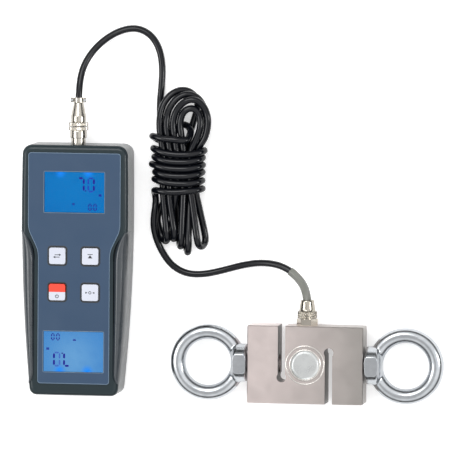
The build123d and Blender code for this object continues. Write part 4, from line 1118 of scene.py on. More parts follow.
    def centre_line(self, cable: bpy.types.Object) -> np.ndarray:
        """Reads the finished spline's own line, without its thickness.

        Args:
            cable: the cable.

        Returns:
            Rows of x, y, z in metres, from the gland to the plug.
        """
        bare = cable.data.copy()
        bare.bevel_depth = 0
        probe = bpy.data.objects.new("probe", bare)
        bpy.context.scene.collection.objects.link(probe)
        bpy.context.view_layer.update()
        mesh = bpy.data.meshes.new_from_object(probe)
        line = np.empty(len(mesh.vertices) * 3)
        mesh.vertices.foreach_get("co", line)
        bpy.data.objects.remove(probe)
        bpy.data.meshes.remove(mesh)
        bpy.data.curves.remove(bare)
        return line.reshape(-1, 3)


# ---- the meter's new pieces -------------------------------------------------------------
@dataclass
class SideGrips:
    """The two soft grips, swollen over the case's edge and sunk in a groove at the face.

    Attributes:
        belly_half: the case's half width at its widest.
        foot_half: its half width at the foot.
        belly_y: where it is widest.
        proud: how far the grip stands out of the case's side.
        inner: the x of its inner edge.
        top_y: where it ends at the top.
        shoulder_y: where its inner edge begins to arch outwards.
        foot_y: where it ends at the foot.
        foot_corner: the radius of its inner corner there.
        base_z: its lowest height.
        face_z: the height of the case's face.
        swell: how far it swells above the face.
        groove: the depth of the groove beside the face.
        groove_width: the groove's width.
        skin: its thickness.
        full_width: the width from which it has its whole swell.
        least_width: it ends where it would be narrower.
        end_gap: how far its ends stay from the case's seams.
        bulge: the powers of sine and cosine that shape its section.
        crown: the power that moves the swell's top towards the face.
        arch: the powers that shape its inner edge at the top.
        rows: rows of points along it.
        steps: points across its outside.
    """

    belly_half: float = 35.2
    foot_half: float = 29.0
    belly_y: float = 118.0
    proud: float = 0.3
    inner: float = 26.1
    top_y: float = 107.5
    shoulder_y: float = 88.0
    foot_y: float = 7.0
    foot_corner: float = 7.0
    base_z: float = 19.0
    face_z: float = 31.0
    swell: float = 1.5
    groove: float = 1.2
    groove_width: float = 1.3
    skin: float = 2.0
    full_width: float = 8.0
    least_width: float = 0.25
    end_gap: float = 0.05
    bulge: Spot = (0.6, 0.42)
    crown: float = 0.8
    arch: Spot = (1.9, 0.9)
    rows: int = 150
    steps: int = 40

    def outer(self, y: np.ndarray) -> np.ndarray:
        """The grip's outside: the case's long arc and a little more.

        The arc is flat to Y at the belly and passes the foot's half width at y = 0.

        Args:
            y: places along the meter.

        Returns:
            The half width at each.
        """
        rise = self.belly_half - self.foot_half
        radius = (self.belly_y ** 2 + rise ** 2) / (2 * rise)
        return self.belly_half - radius + np.sqrt(radius ** 2 - (y - self.belly_y) ** 2) + self.proud

    def inner_edge(self, y: np.ndarray) -> np.ndarray:
        """Where the grip meets the face: straight, arched at the top, round at the foot.

        Args:
            y: places along the meter.

        Returns:
            The x at each.
        """
        reach = self.belly_half - self.inner
        up = np.clip((y - self.shoulder_y) / (self.top_y - self.shoulder_y), 0, 1)
        flat, blunt = self.arch
        arch = reach * (1 - np.sqrt(1 - np.clip(up, 0, 0.9999) ** flat)) ** blunt
        down = np.clip((self.foot_y + self.foot_corner - y) / self.foot_corner, 0, 1)
        foot = self.foot_corner * (1 - np.sqrt(1 - down ** 2))
        return self.inner + arch + foot

    def surface(self) -> tuple[np.ndarray, list]:
        """The right grip's points and faces.

        Across the grip, x = inner + width * sin(a)^p and z falls as cos(a)^q from the face to
        the base, where p and q are the bulge's powers, with a swell that is highest before the
        middle and a groove beside the face. The same line, drawn in by the skin, is its
        underside.

        Returns:
            Points and faces.
        """
        y = np.linspace(0, 1, self.rows)
        reach = self.top_y - self.foot_y - 2 * self.end_gap
        y = self.foot_y + self.end_gap + reach * (0.5 - 0.5 * np.cos(math.pi * y))
        width = self.outer(y) - self.inner_edge(y)
        y, width = y[width > self.least_width], width[width > self.least_width]
        a = np.linspace(0, math.pi / 2, self.steps)
        full = np.clip(width / self.full_width, 0.0, 1.0)[:, None]
        across = width[:, None] * np.sin(a) ** self.bulge[0]
        top = self.face_z - self.base_z
        z = self.base_z + top * np.cos(a) ** self.bulge[1]
        share = across / width[:, None]
        z = z + full * self.swell * np.sin(math.pi * share ** self.crown)
        z = z - full * self.groove * np.exp(-(across / self.groove_width) ** 2)
        x = self.inner_edge(y)[:, None] + across
        outside = np.stack((x, np.repeat(y[:, None], self.steps, 1), z), axis=-1)
        under = outside.copy()
        under[..., 0] = np.minimum(x, self.outer(y)[:, None] - self.skin)
        under[..., 0] = np.maximum(under[..., 0], x[:, :1])
        under[..., 2] = np.maximum(np.minimum(z, self.face_z) - self.skin, self.base_z)
        ring = np.concatenate((outside, under[:, ::-1]), axis=1)
        count = ring.shape[1]
        faces = grid_faces(len(y), count, round_columns=True).tolist()
        last = (len(y) - 1) * count
        caps = [list(range(count))[::-1], [last + i for i in range(count)]]
        return ring.reshape(-1, 3), [f[::-1] for f in faces] + [c[::-1] for c in caps]

    def build(self) -> None:
        """Makes both grips in place of their nodes."""
        points, faces = self.surface()
        right = mesh_piece("grip_skin_right", points, faces, GRIP, "grip_rubber", "root")
        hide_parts("right_grip")
        left = mesh_piece("grip_skin_left", points * (-1, 1, 1), [f[::-1] for f in faces],
                          GRIP, "grip_rubber", "root")
        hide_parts("left_grip")


@dataclass
class FaceLabel:
    """Pale lines round the label and its windows, painted highlights along their edges, and dark rings
    round the keys, painted shade in the gap round each key.

    Attributes:
        wide: the label's half width above the shoulder.
        narrow: its half width below it.
        top_y: its upper edge.
        low_y: its lower edge.
        shoulder_top: where the shoulder begins.
        shoulder_low: where it ends.
        corner: the radius of the outer corners.
        shoulder_round: the radius of the shoulder's two bends.
        top_z: the height of the label's face.
        line_width: the width of the edge line.
        line_height: how far the lines stand up.
        line_inset: from the label's edge to the line.
        sunk: how deep a bead's edges and its underside lie in the label.
        key_size: a key's side.
        key_corner: its corner's radius.
        key_gap: between a key and its ring.
        ring_width: the ring's width.
        ring_height: how far it stands up.
        key_x: how far a key stands from the middle.
        key_rows: the y of the two rows of keys.
        window_rows: the y of the two windows.
        window_half: a window's half width and half height.
        window_line: the width of a window's line.
        window_outset: from a window's edge to the line's outer edge.
        window_corner: the radius of its corners.
    """

    wide: float = 30.6
    narrow: float = 23.8
    top_y: float = 159.0
    low_y: float = 7.7
    shoulder_top: float = 108.8
    shoulder_low: float = 94.5
    corner: float = 2.0
    shoulder_round: float = 18.0
    top_z: float = 30.8
    line_width: float = 0.38
    line_height: float = 0.12
    line_inset: float = 0.1
    sunk: Spot = (0.02, 0.06)
    key_size: float = 10.9
    key_corner: float = 1.5
    key_gap: float = 0.35
    ring_width: float = 0.85
    ring_height: float = 0.1
    key_x: float = 10.9
    key_rows: Spot = (91.5, 67.8)
    window_rows: Spot = (133.2, 28.8)
    window_half: Spot = (19.9, 13.3)
    window_line: float = 0.34
    window_outset: float = 0.42
    window_corner: float = 0.5

    def box(self, x: float, y: float, wide: float, high: float,
            corner: float) -> tuple[np.ndarray, np.ndarray]:
        """A rounded rectangle.

        Args:
            x: its middle's x.
            y: its middle's y.
            wide: half its width.
            high: half its height.
            corner: its corners' radius.

        Returns:
            Its outline and normals.
        """
        corners = [(x - wide, y - high), (x + wide, y - high), (x + wide, y + high),
                   (x - wide, y + high)]
        return rounded(corners, [corner] * 4, 8)

    def outline(self) -> tuple[np.ndarray, np.ndarray]:
        """The label's own edge: wide at the top, with a soft shoulder to the narrow part.

        Returns:
            Its outline and normals.
        """
        right = [(self.narrow, self.low_y), (self.narrow, self.shoulder_low),
                 (self.wide, self.shoulder_top), (self.wide, self.top_y)]
        corners = right + [(-x, y) for x, y in right[::-1]]
        half = [self.corner, self.shoulder_round, self.shoulder_round, self.corner]
        return rounded(corners, half + half[::-1], 12)

    def bead(self, points: np.ndarray, normals: np.ndarray, inset: float, width: float,
             height: float) -> tuple[np.ndarray, np.ndarray]:
        """A low bead carried round an outline, a half round of the given width and height.

        Across it, the line runs width / 2 * (1 - cos a) inwards and height * sin a up, and
        its underside is sunk a little in the label.

        Args:
            points: the outline.
            normals: its outward normals.
            inset: from the outline to the bead's outer edge.
            width: its width.
            height: how far it stands up.

        Returns:
            Points and faces.
        """
        a = np.linspace(0, math.pi, 7)
        off = inset + width / 2 - width / 2 * np.cos(a)
        lift = height * np.sin(a) - self.sunk[0]
        off, lift = np.append(off, off[::-1][1:-1]), np.append(lift, np.full(5, -self.sunk[1]))
        flat = points[:, None] - normals[:, None] * off[None, :, None]
        z = np.broadcast_to(self.top_z + lift, flat.shape[:2])
        ring = np.concatenate((flat, z[..., None]), axis=-1)
        return ring.reshape(-1, 3), grid_faces(len(points), len(off), True, True)

    def build(self) -> None:
        """Makes the edge line and the windows' lines, pale as painted highlights, and the key rings,
        dark as painted shade.
        """
        # painted highlight along the label's and the windows' edges
        lines = [self.bead(*self.outline(), self.line_inset, self.line_width, self.line_height)]
        for y in self.window_rows:
            window = self.box(0.0, y, *self.window_half, self.window_corner)
            lines.append(self.bead(*window, -self.window_outset, self.window_line,
                                   self.line_height))
        mesh_piece("label_edge_line", *gathered(lines), EDGE_HIGHLIGHT, "label_film", "root")
        # painted shade: a dark ring round each key, in the gap where shade falls
        half = self.key_size / 2 + self.ring_width + self.key_gap
        rings = [self.bead(*self.box(x, y, half, half, self.key_corner + 1.0), 0.0,
                           self.ring_width, self.ring_height)
                 for x in (-self.key_x, self.key_x) for y in self.key_rows]
        mesh_piece("key_rings", *gathered(rings), INK_AND_KEY_SHADE, "label_film", "root")


class Segment(Enum):
    """The seven bars of a digit, as start and end in half widths and half heights."""

    TOP = ((-1, 1), (1, 1))
    UPPER_RIGHT = ((1, 1), (1, 0))
    LOWER_RIGHT = ((1, 0), (1, -1))
    FOOT = ((-1, -1), (1, -1))
    LOWER_LEFT = ((-1, 0), (-1, -1))
    UPPER_LEFT = ((-1, 1), (-1, 0))
    MIDDLE = ((-1, 0), (1, 0))


SEVEN = (Segment.TOP, Segment.UPPER_RIGHT, Segment.LOWER_RIGHT)
ONE = (Segment.UPPER_RIGHT, Segment.LOWER_RIGHT)
FADING = (Segment.TOP, Segment.FOOT, Segment.LOWER_LEFT, Segment.UPPER_LEFT)
NOUGHT = (Segment.TOP, Segment.UPPER_RIGHT, Segment.LOWER_RIGHT, Segment.FOOT,
          Segment.LOWER_LEFT, Segment.UPPER_LEFT)


def block(x: float, y: float, w: float, h: float) -> np.ndarray:
    """A rectangle's outline, by its middle and half sides."""
    return np.array(((x - w, y - h), (x + w, y - h), (x + w, y + h), (x - w, y + h)))


@dataclass
class Displays:
    """The lit films under the two windows and the digits on them.

    Attributes:
        half_x: a film's half width.
        half_y: its half height.
        film_low: the height of its underside.
        film_high: the height of its face.
        digit_gap: from its face to the digits' underside.
        digit_top: the height of the digits' faces.
        rows: the y of the two displays.
        big: half a big digit's width and height.
        small: half a small digit's width and height.
        big_bar: the width of its bars.
        faint_bar: the width of a fading bar.
        small_bar: the width of a small digit's bars.
        large_places: the middles of the two big digits.
        small_places: the middles of the two small ones.
        dashes: the point and the dashes, by their middles and half sides.
    """

    half_x: float = 19.75
    half_y: float = 13.15
    film_low: float = 30.24
    film_high: float = 30.32
    digit_gap: float = 0.005
    digit_top: float = 30.36
    rows: Spot = (133.2, 28.8)
    big: Spot = (1.85, 4.3)
    small: Spot = (0.85, 2.0)
    big_bar: float = 1.3
    faint_bar: float = 1.1
    small_bar: float = 0.75
    large_places: tuple[Spot, Spot] = ((4.3, 5.0), (11.0, 5.0))
    small_places: tuple[Spot, Spot] = ((10.3, -9.6), (13.7, -9.6))
    dashes: tuple[tuple[float, float, float, float], ...] = (
        (7.45, 1.1, 0.45, 0.45), (17.0, -1.5, 0.95, 0.42), (17.0, -2.3, 0.95, 0.2),
        (-0.6, -7.5, 1.0, 0.3), (-0.6, -8.2, 0.8, 0.2))

    def bar(self, start: np.ndarray, end: np.ndarray, width: float) -> np.ndarray:
        """A bar with pointed ends that stop a little short of its corners.

        Args:
            start: one corner of the digit.
            end: the next one.
            width: the bar's width.

        Returns:
            Its outline.
        """
        way = (end - start) / np.linalg.norm(end - start)
        side = np.array((-way[1], way[0])) * width / 2
        short = 0.28  # of the width, left free at each end
        a, b = start + way * width * short, end - way * width * short
        return np.array((a, a + way * width / 2 - side, b - way * width / 2 - side, b,
                         b - way * width / 2 + side, a + way * width / 2 + side))

    def digit(self, bars: Sequence[Segment], centre: Spot, half: Spot,
              width: float) -> list[np.ndarray]:
        """The outlines of a digit's bars.

        Args:
            bars: the bars that are on.
            centre: its middle.
            half: half its width and height.
            width: a bar's width.

        Returns:
            One outline a bar.
        """
        middle, size = np.array(centre), np.array(half)
        ends = (bar.value for bar in bars)
        return [self.bar(middle + size * a, middle + size * b, width) for a, b in ends]

    def marks(self) -> list[np.ndarray]:
        """All that is dark on a display: two big digits, two small ones, and the dashes.

        Returns:
            Outlines about the display's middle.
        """
        shapes = self.digit(SEVEN, self.large_places[0], self.big, self.big_bar)
        shapes += self.digit(ONE, self.large_places[1], self.big, self.big_bar)
        for place in self.small_places:
            shapes += self.digit(NOUGHT, place, self.small, self.small_bar)
        return shapes + [block(*dash) for dash in self.dashes]

    def build(self) -> None:
        """Makes both films and both sets of digits, the lower one upside down."""
        faint = self.digit(FADING, self.large_places[1], self.big, self.faint_bar)
        low = self.film_high + self.digit_gap
        for name, y, way, glass, fade in (
                ("upper", self.rows[0], 1, UPPER_GLASS, UPPER_FADE),
                ("lower", self.rows[1], -1, LOWER_GLASS, LOWER_FADE)):
            film = prism(block(0.0, y, self.half_x, self.half_y), self.film_low, self.film_high)
            mesh_piece(f"{name}_lit_film", *film, glass, "display_glass", "root", False)
            for kind, shapes, finish in (("digits", self.marks(), SEGMENT),
                                         ("faint_bars", faint, fade)):
                parts = [prism(shape * way + (0, y), low, self.digit_top) for shape in shapes]
                mesh_piece(f"{name}_{kind}", *gathered(parts), finish, "display_glass", "root",
                           False)


@dataclass
class KeyMarks:
    """Small plain signs printed on the keys: none of them is a word.

    Attributes:
        key_x: how far a key stands from the middle.
        upper_y: the y of the upper row.
        lower_y: the y of the lower row.
        top_z: the height of a key's face.
        ink: the ink's thickness.
        sunk: how deep it begins in the key.
    """

    key_x: float = 10.9
    upper_y: float = 91.5
    lower_y: float = 67.8
    top_z: float = 31.8
    ink: float = 0.03
    sunk: float = 0.01

    def ring(self, x: float, y: float, outer: float, inner: float,
             open_at: float = 0.0) -> list[np.ndarray]:
        """Short plates round a circle.

        Args:
            x: its middle's x.
            y: its middle's y.
            outer: its outer radius.
            inner: its inner radius.
            open_at: the half angle that is left open at the top.

        Returns:
            One outline a plate.
        """
        a = np.linspace(math.pi / 2 + open_at, math.pi * 2.5 - open_at, 25)
        rim = np.stack((np.cos(a), np.sin(a)), axis=1)
        near, far = (x, y) + inner * rim, (x, y) + outer * rim
        return list(np.stack((near[:-1], far[:-1], far[1:], near[1:]), axis=1))

    def arrow(self, x: float, y: float, size: float, way: int) -> np.ndarray:
        """A triangle's outline, anticlockwise either way.

        Args:
            x: its middle's x.
            y: its middle's y.
            size: half its length and half its width.
            way: 1 where it points to +X, or -1.

        Returns:
            Three points.
        """
        tip = np.array(((x - size * way, y - size), (x + size * way, y), (x - size * way, y + size)))
        return tip if way > 0 else tip[::-1]

    def signs(self) -> dict[str, list[np.ndarray]]:
        """The signs: two arrows, a peak below a line, a ring with a bar, a nought held level.

        Returns:
            Each key's outlines.
        """
        left, right = -self.key_x, self.key_x
        up, low = self.upper_y, self.lower_y
        both_ways = [block(left, up + 0.75, 1.6, 0.22), self.arrow(left + 2.0, up + 0.75, 0.75, 1),
                     block(left, up - 0.75, 1.6, 0.22), self.arrow(left - 2.0, up - 0.75, 0.75, -1)]
        peak = [np.array(((right - 1.5, up - 1.2), (right + 1.5, up - 1.2), (right, up + 0.9))),
                block(right, up + 1.35, 1.7, 0.22)]
        power = [*self.ring(left, low - 2.7, 1.25, 0.85, 0.6), block(left, low - 1.95, 0.2, 0.8)]
        nought = [*self.ring(right, low, 1.0, 0.6), self.arrow(right - 2.3, low, 0.7, 1),
                  self.arrow(right + 2.3, low, 0.7, -1)]
        return {"key_upper_left": both_ways, "key_upper_right": peak,
                "key_lower_left": power, "key_lower_right": nought}

    def build(self) -> None:
        """Makes the four keys' signs, each riding on its key."""
        for key, shapes in self.signs().items():
            parts = [prism(shape, self.top_z - self.sunk, self.top_z + self.ink)
                     for shape in shapes]
            mesh_piece(f"{key}_sign", *gathered(parts), INK_AND_KEY_SHADE, "keypad_rubber", key, False)


# ---- the plug, the gland and the load cell's new pieces ---------------------------------
@dataclass
class PlugShells:
    """The coupling ring and the backshell, turned and knurled.

    Attributes:
        axis_x: the plug's axis.
        axis_z: its height.
        ring: the coupling ring's profile, in radius and place along Y.
        shell: the backshell's.
        ring_knurl: where the ring's teeth are, and the least radius that has them.
        shell_knurl: the same for the backshell.
        step: about how far apart a profile's points are.
        columns: points round it.
        teeth: number of teeth.
        tooth: their depth.
    """

    axis_x: float = 0.0
    axis_z: float = 16.0
    ring: tuple[Spot, ...] = (
        (5.15, 167.9), (5.45, 168.2), (5.45, 172.6), (5.3, 172.8), (5.3, 173.0), (6.2, 173.15),
        (6.35, 173.35), (6.35, 175.15), (6.2, 175.35), (3.95, 175.35), (3.95, 174.3),
        (4.8, 174.3), (4.8, 167.9))
    shell: tuple[Spot, ...] = (
        (5.9, 175.75), (6.2, 175.85), (6.35, 176.05), (6.35, 177.9), (6.2, 178.1), (5.0, 178.25),
        (4.75, 178.5), (4.75, 178.9), (4.95, 179.1), (4.95, 182.2), (4.85, 182.8), (3.3, 190.6),
        (3.1, 191.0), (2.35, 191.0), (2.35, 186.0), (3.95, 180.0), (3.95, 175.75))
    ring_knurl: Point = (173.2, 175.3, 5.6)
    shell_knurl: Point = (175.9, 178.05, 5.6)
    step: float = 0.45
    columns: int = 240
    teeth: int = 40
    tooth: float = 0.32

    def turned(self, name: str, profile: Sequence[Spot], knurl: Point, node: str,
               body: str) -> bpy.types.Object:
        """Turns one shell in place of its node.

        Args:
            name: the piece's name.
            profile: its profile.
            knurl: where its teeth are.
            node: the node that it replaces.
            body: the body it moves with.

        Returns:
            The shell.
        """
        points, faces = lathe(filled(profile, self.step), self.columns, self.teeth, self.tooth,
                              (knurl,))
        piece = mesh_piece(name, along_y(points, self.axis_x, self.axis_z), faces, CONNECTOR,
                           "connector_nickel", body)
        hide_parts(node)
        return piece

    def build(self) -> list[bpy.types.Object]:
        """Makes both shells.

        Returns:
            The coupling ring and the backshell.
        """
        return [self.turned("coupling_ring_turned", self.ring, self.ring_knurl, "coupling_ring",
                            "coupling_ring"),
                self.turned("backshell_turned", self.shell, self.shell_knurl, "backshell",
                            "root")]


@dataclass
class GlandNut:
    """The gland's turned nut: a knurled band and a tapered cap.

    Attributes:
        axis_x: the gland's axis.
        axis_z: its height.
        profile: the nut's profile, in radius and place along Y.
        knurl: where its teeth are, and the least radius that has them.
        step: about how far apart the profile's points are.
        columns: points round it.
        teeth: number of teeth.
        tooth: their depth.
        slant: their turn in radians per millimetre.
    """

    axis_x: float = 151.5
    axis_z: float = 12.5
    profile: tuple[Spot, ...] = (
        (5.9, 52.5), (6.2, 52.6), (6.4, 52.85), (6.4, 56.9), (6.2, 57.15), (5.5, 57.3),
        (5.3, 57.6), (5.2, 58.0), (4.4, 63.6), (4.3, 64.1), (4.0, 64.45), (3.15, 64.5),
        (3.1, 64.2), (3.1, 59.0), (4.3, 58.0), (4.3, 52.5))
    knurl: Point = (52.6, 57.1, 5.6)
    step: float = 0.4
    columns: int = 216
    teeth: int = 36
    tooth: float = 0.45
    slant: float = 0.16

    def build(self) -> None:
        """Makes the nut in place of its node."""
        points, faces = lathe(filled(self.profile, self.step), self.columns, self.teeth,
                              self.tooth, (self.knurl,), self.slant)
        piece = mesh_piece("gland_nut_turned", along_y(points, self.axis_x, self.axis_z), faces,
                           GLAND, "gland_nickel", "gland_nut")
        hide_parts("gland_nut")


@dataclass
class GaugeCover:
    """The front cover: a dished disc in a rolled rim, and the turned land round it.

    Attributes:
        x: its middle's x.
        y: its middle's y.
        face_z: the height of the load cell's face.
        disc: the disc's profile, in radius and height above that face.
        rim: the rolled rim's.
        land: the outer bright edge's.
        step: about how far apart the disc's points are.
        columns: points round it.
    """

    x: float = 151.5
    y: float = 22.5
    face_z: float = 22.025
    disc: tuple[Spot, ...] = (
        (0.001, -0.35), (8.1, -0.35), (8.4, -0.45), (8.7, -0.85), (8.9, -0.9), (9.1, -0.6),
        (9.2, -0.2), (9.28, -0.25), (9.28, -1.95), (0.001, -1.95))
    rim: tuple[Spot, ...] = (
        (9.35, -0.3), (9.3, 0.0), (9.45, 0.22), (9.8, 0.32), (10.2, 0.22), (10.5, -0.02),
        (10.4, -0.08), (9.5, -0.3))
    land: tuple[Spot, ...] = (
        (12.0, -0.03), (12.1, 0.08), (12.45, 0.16), (12.8, 0.08), (12.92, -0.03),
        (12.45, -0.08))
    step: float = 1.0
    columns: int = 128

    def build(self) -> None:
        """Makes the disc in place of its node, and the land's two bright edges."""
        place = (self.x, self.y, self.face_z)
        points, faces = lathe(filled(self.disc, self.step), self.columns)
        piece = mesh_piece("gauge_cover_disc", points + place, faces[:, ::-1], COVER,
                           "cover_nickel", "root")
        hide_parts("gauge_cover_front")
        points, faces = gathered((lathe(self.rim, self.columns), lathe(self.land, self.columns)))
        mesh_piece("cover_rims", points + place, [f[::-1] for f in faces], LAND, "cell_nickel",
                   "root")


class Side(Enum):
    """The two ends of the load cell, by the way their eye bolts point along X."""

    LEFT = -1
    RIGHT = 1


@dataclass
class EyeBolt:
    """A forged eye bolt: a round ring, a collar with two flats, and a threaded shank.

    Its own frame has the eye's middle at 0 and the shank along +X.

    Attributes:
        side: the end of the load cell that it is in.
        cell_x: the x of the load cell's middle.
        eye_offset: from there to the eye's middle.
        y: the bolt's axis.
        z: its height.
        ring: the radius of the ring's middle line.
        bar: the bar's radius.
        seat: from the eye's middle to the collar's seat.
        collar: the collar's radius.
        collar_length: its length.
        flat: half the distance between its flats.
        shank: the shank's radius.
        shank_length: its length.
        root_middle: where the swelling between ring and collar has its middle.
        root_half: the swelling's half sides.
        root_square: the power that squares it off.
        ring_grid: points round the ring and round its bar.
        root_grid: points round the swelling and from its foot to its top.
        voxel: the size of the melted form's grain.
        easing: the factor and the rounds of smoothing after it.
    """

    side: Side = Side.RIGHT
    cell_x: float = 151.5
    eye_offset: float = 65.1
    y: float = 22.5
    z: float = 12.5
    ring: float = 20.0
    bar: float = 5.0
    seat: float = 26.0
    collar: float = 12.5
    collar_length: float = 9.0
    flat: float = 10.9
    shank: float = 5.95
    shank_length: float = 19.0
    root_middle: float = 19.6
    root_half: Point = (4.6, 12.2, 7.4)
    root_square: float = 0.7
    ring_grid: tuple[int, int] = (144, 48)
    root_grid: tuple[int, int] = (72, 36)
    voxel: float = 0.42
    easing: tuple[float, int] = (0.5, 16)

    def loop(self) -> tuple[np.ndarray, np.ndarray]:
        """The ring, a torus: (R + r cos b) round the eye and r sin b up.

        Returns:
            Points and faces.
        """
        rows, columns = self.ring_grid
        a = np.linspace(0, 2 * math.pi, rows, endpoint=False)[:, None]
        b = np.linspace(0, 2 * math.pi, columns, endpoint=False)[None]
        reach = self.ring + self.bar * np.cos(b)
        points = np.stack((reach * np.cos(a), reach * np.sin(a), self.bar * np.sin(b) + 0 * a), axis=-1)
        return points.reshape(-1, 3), grid_faces(rows, columns, True, True)

    def root(self) -> tuple[np.ndarray, list]:
        """The swelling where the ring meets the collar, a superellipsoid.

        A point is its middle plus each half side times a product of cosines and sines of two
        angles, squared off.

        Returns:
            Points and faces.
        """
        rows, columns = self.root_grid
        a = np.linspace(0, 2 * math.pi, rows, endpoint=False)[:, None]
        pole = math.pi / 2 - 0.02  # just short of the two poles, which flat caps close
        b = np.linspace(-pole, pole, columns)[None]
        long, wide, high = self.root_half
        across = squared_off(np.cos(b), self.root_square)
        points = np.stack((self.root_middle + long * across * squared_off(np.cos(a), self.root_square),
                           wide * across * squared_off(np.sin(a), self.root_square),
                           high * squared_off(np.sin(b), self.root_square) + 0 * a), axis=-1)
        faces = grid_faces(rows, columns, round_rows=True).tolist()
        foot = np.arange(rows) * columns
        return points.reshape(-1, 3), faces + [foot[::-1].tolist(), (foot + columns - 1).tolist()]

    def collar_and_shank(self) -> tuple[np.ndarray, np.ndarray]:
        """The collar and shank, turned about the bolt's own line.

        Returns:
            Points and faces.
        """
        top, seat = self.seat - self.collar_length, self.seat
        end = seat + self.shank_length
        rows = [(0.001, top + 0.3), (9.5, top + 0.1), (11.4, top + 0.3), (12.2, top + 1.0),
                (self.collar, top + 1.8), (self.collar, seat - 0.8), (self.collar - 0.8, seat),
                (self.shank, seat), (self.shank, end - 1.0), (self.shank - 1.0, end), (0.001, end)]
        points, faces = lathe(rows, 96)
        return points[:, [2, 0, 1]], faces

    def build(self) -> None:
        """Melts the forms together as a forging does, and cuts the collar's two flats."""
        name, way = self.side.name.lower(), self.side.value
        points, faces = gathered((self.loop(), self.root(), self.collar_and_shank()))
        centre = np.array((self.cell_x + way * self.eye_offset, self.y, self.z))
        points = points * (-way, 1, 1) + centre
        if self.side is Side.RIGHT:
            faces = [f[::-1] for f in faces]
        piece = mesh_piece(f"eye_bolt_{name}_forged", points, faces, ZINC, "eye_zinc",
                           f"eye_bolt_{name}")
        weld = piece.modifiers.new("weld", "REMESH")
        weld.mode, weld.voxel_size = "VOXEL", self.voxel * MM
        weld.use_smooth_shade = True
        ease = piece.modifiers.new("ease", "SMOOTH")
        ease.factor, ease.iterations = self.easing
        settle_mesh(piece)
        mesh = piece.data
        spots = np.empty(len(mesh.vertices) * 3)
        mesh.vertices.foreach_get("co", spots)
        spots = spots.reshape(-1, 3)
        up = (spots[:, 2] - placed(centre)[2]) / MM
        spots[:, 2] = placed(centre)[2] + np.clip(up, -self.flat, self.flat) * MM
        mesh.vertices.foreach_set("co", spots.ravel())
        mesh.update()
        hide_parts(f"eye_bolt_{name}")


def settle_mesh(piece: bpy.types.Object) -> None:
    """Puts a piece's modifiers into its mesh.

    Args:
        piece: the object.
    """
    bpy.context.view_layer.update()
    graph = bpy.context.evaluated_depsgraph_get()
    made = bpy.data.meshes.new_from_object(piece.evaluated_get(graph))
    finish = piece.data.materials[0]
    piece.modifiers.clear()
    piece.data = made
    made.materials.clear()
    made.materials.append(finish)
    made.polygons.foreach_set("use_smooth", np.full(len(made.polygons), True))
    log.info("settled %s to %d faces", piece.name, len(made.polygons))


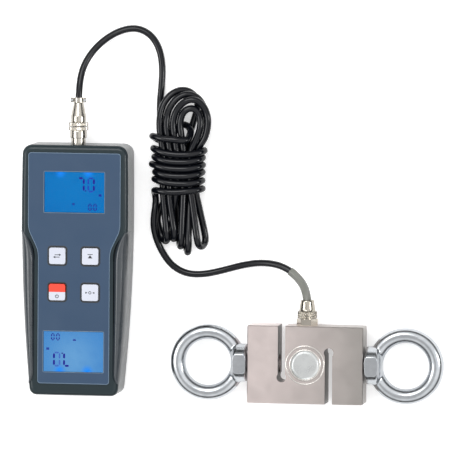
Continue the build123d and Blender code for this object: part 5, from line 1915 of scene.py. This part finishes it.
@dataclass
class Sleeve:
    """The shrink sleeve, drawn tight over the cable and ribbed by its strands.

    Attributes:
        start_y: where it begins, inside the gland.
        end: where it ends on the cable.
        radius: its outer radius at a rib.
        inner: its inner radius.
        rib: the ribs' height to either side of their middle.
        ribs: how many there are.
        twist: how far they turn over the sleeve's length, in radians.
        end_round: the share of the radius that its two ends keep, and how fast it grows.
        columns: points round it.
    """

    start_y: float = 59.2
    end: Point = (139.9, 82.9, 11.0)
    radius: float = 2.9
    inner: float = 2.3
    rib: float = 0.26
    ribs: int = 5
    twist: float = 5.0
    end_round: Spot = (0.97, 30.0)
    columns: int = 90

    def build(self, line: np.ndarray) -> bpy.types.Object:
        """Makes the sleeve along the cable's own line, in place of its node.

        A point is the line's point plus radius * (side cos a + up sin a), and the radius
        waves by the rib's height.

        Args:
            line: the cable's own line, in metres.

        Returns:
            The sleeve.
        """
        line = line / MM + PART_ORIGIN
        first = int(np.argmin(np.abs(line[:60, 1] - self.start_y)))
        last = int(np.argmin(np.linalg.norm(line[:120] - self.end, axis=1)))
        path = line[first:last + 1]
        way = np.gradient(path, axis=0)
        way /= np.linalg.norm(way, axis=1)[:, None]
        side = np.cross(way, (0.0, 0.0, 1.0))
        side /= np.linalg.norm(side, axis=1)[:, None]
        up = np.cross(side, way)
        s = np.linspace(0, 1, len(path))
        a = np.linspace(0, 2 * math.pi, self.columns, endpoint=False)
        least, growth = self.end_round
        ends = np.minimum(1, np.minimum(s, 1 - s) * growth + least)[:, None]
        wave = self.rib * np.cos(self.ribs * a[None] + self.twist * s[:, None])
        radius = (self.radius - self.rib + wave) * ends
        ring = side[:, None] * np.cos(a)[None, :, None] + up[:, None] * np.sin(a)[None, :, None]
        outside = path[:, None] + ring * radius[..., None]
        inside = path[:, None] + ring * self.inner
        rows = np.concatenate((outside, inside[::-1]))
        faces = grid_faces(len(rows), self.columns, True, True)
        piece = mesh_piece("ribbed_sleeve", rows.reshape(-1, 3), faces, SLEEVE, "sleeve_plastic",
                           "root")
        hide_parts("cable_sleeve")
        return piece


# ---- dressing the carried-over pieces ---------------------------------------------------
def dress(frame: dict) -> None:
    """Gives every carried-over node its finish, by its material slot in the record.
    """
    by_slot = {
        "case_plastic": CASE, "grip_rubber": GRIP, "label_film": LABEL, "window_acrylic": WINDOW,
        "display_glass": UPPER_GLASS, "backlight_plastic": BACKLIGHT, "key_white": KEY_WHITE,
        "key_red": KEY_RED, "keypad_rubber": KEYPAD, "board_laminate": BOARD,
        "chip_epoxy": CHIP, "battery_jacket": BATTERY, "contact_nickel": CONTACT,
        "screw_steel": SCREW, "connector_nickel": CONNECTOR, "insulator_plastic": INSULATOR,
        "pin_brass": BRASS, "cell_nickel": CELL, "cover_nickel": COVER, "gauge_foil": FOIL,
        "gland_nickel": GLAND, "seal_rubber": SEAL, "eye_zinc": ZINC, "sleeve_plastic": SLEEVE,
        "cable_jacket": JACKET,
    }
    for name, node in frame["nodes"].items():
        for place in node.material_slots:
            slot = place.material.name.split(".")[0] if place.material else ""
            finish = by_slot.get(slot)
            # the gland body's paler copy of the plate is a painted reflection
            finish = {"lower_display": LOWER_GLASS, "gland_body": GLAND_BODY_REFLECTION}.get(name, finish)
            if finish:
                place.material = finish.material()


def main() -> None:
    """Builds the scene in order."""
    logging.basicConfig(level=logging.INFO, format="%(message)s")
    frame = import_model()
    studio = Studio()
    studio.camera()
    cable = Cable()
    line = cable.build()
    middle = cable.centre_line(line)
    log.info("cable length %.3f m", np.linalg.norm(np.diff(middle, axis=0), axis=1).sum())
    sleeve = Sleeve().build(middle)
    plug = PlugShells().build()
    studio.floor()
    studio.light()
    dress(frame)
    SideGrips().build()
    FaceLabel().build()
    Displays().build()
    KeyMarks().build()
    GlandNut().build()
    GaugeCover().build()
    for side in Side:
        EyeBolt(side).build()


if __name__ == "__main__":
    main()
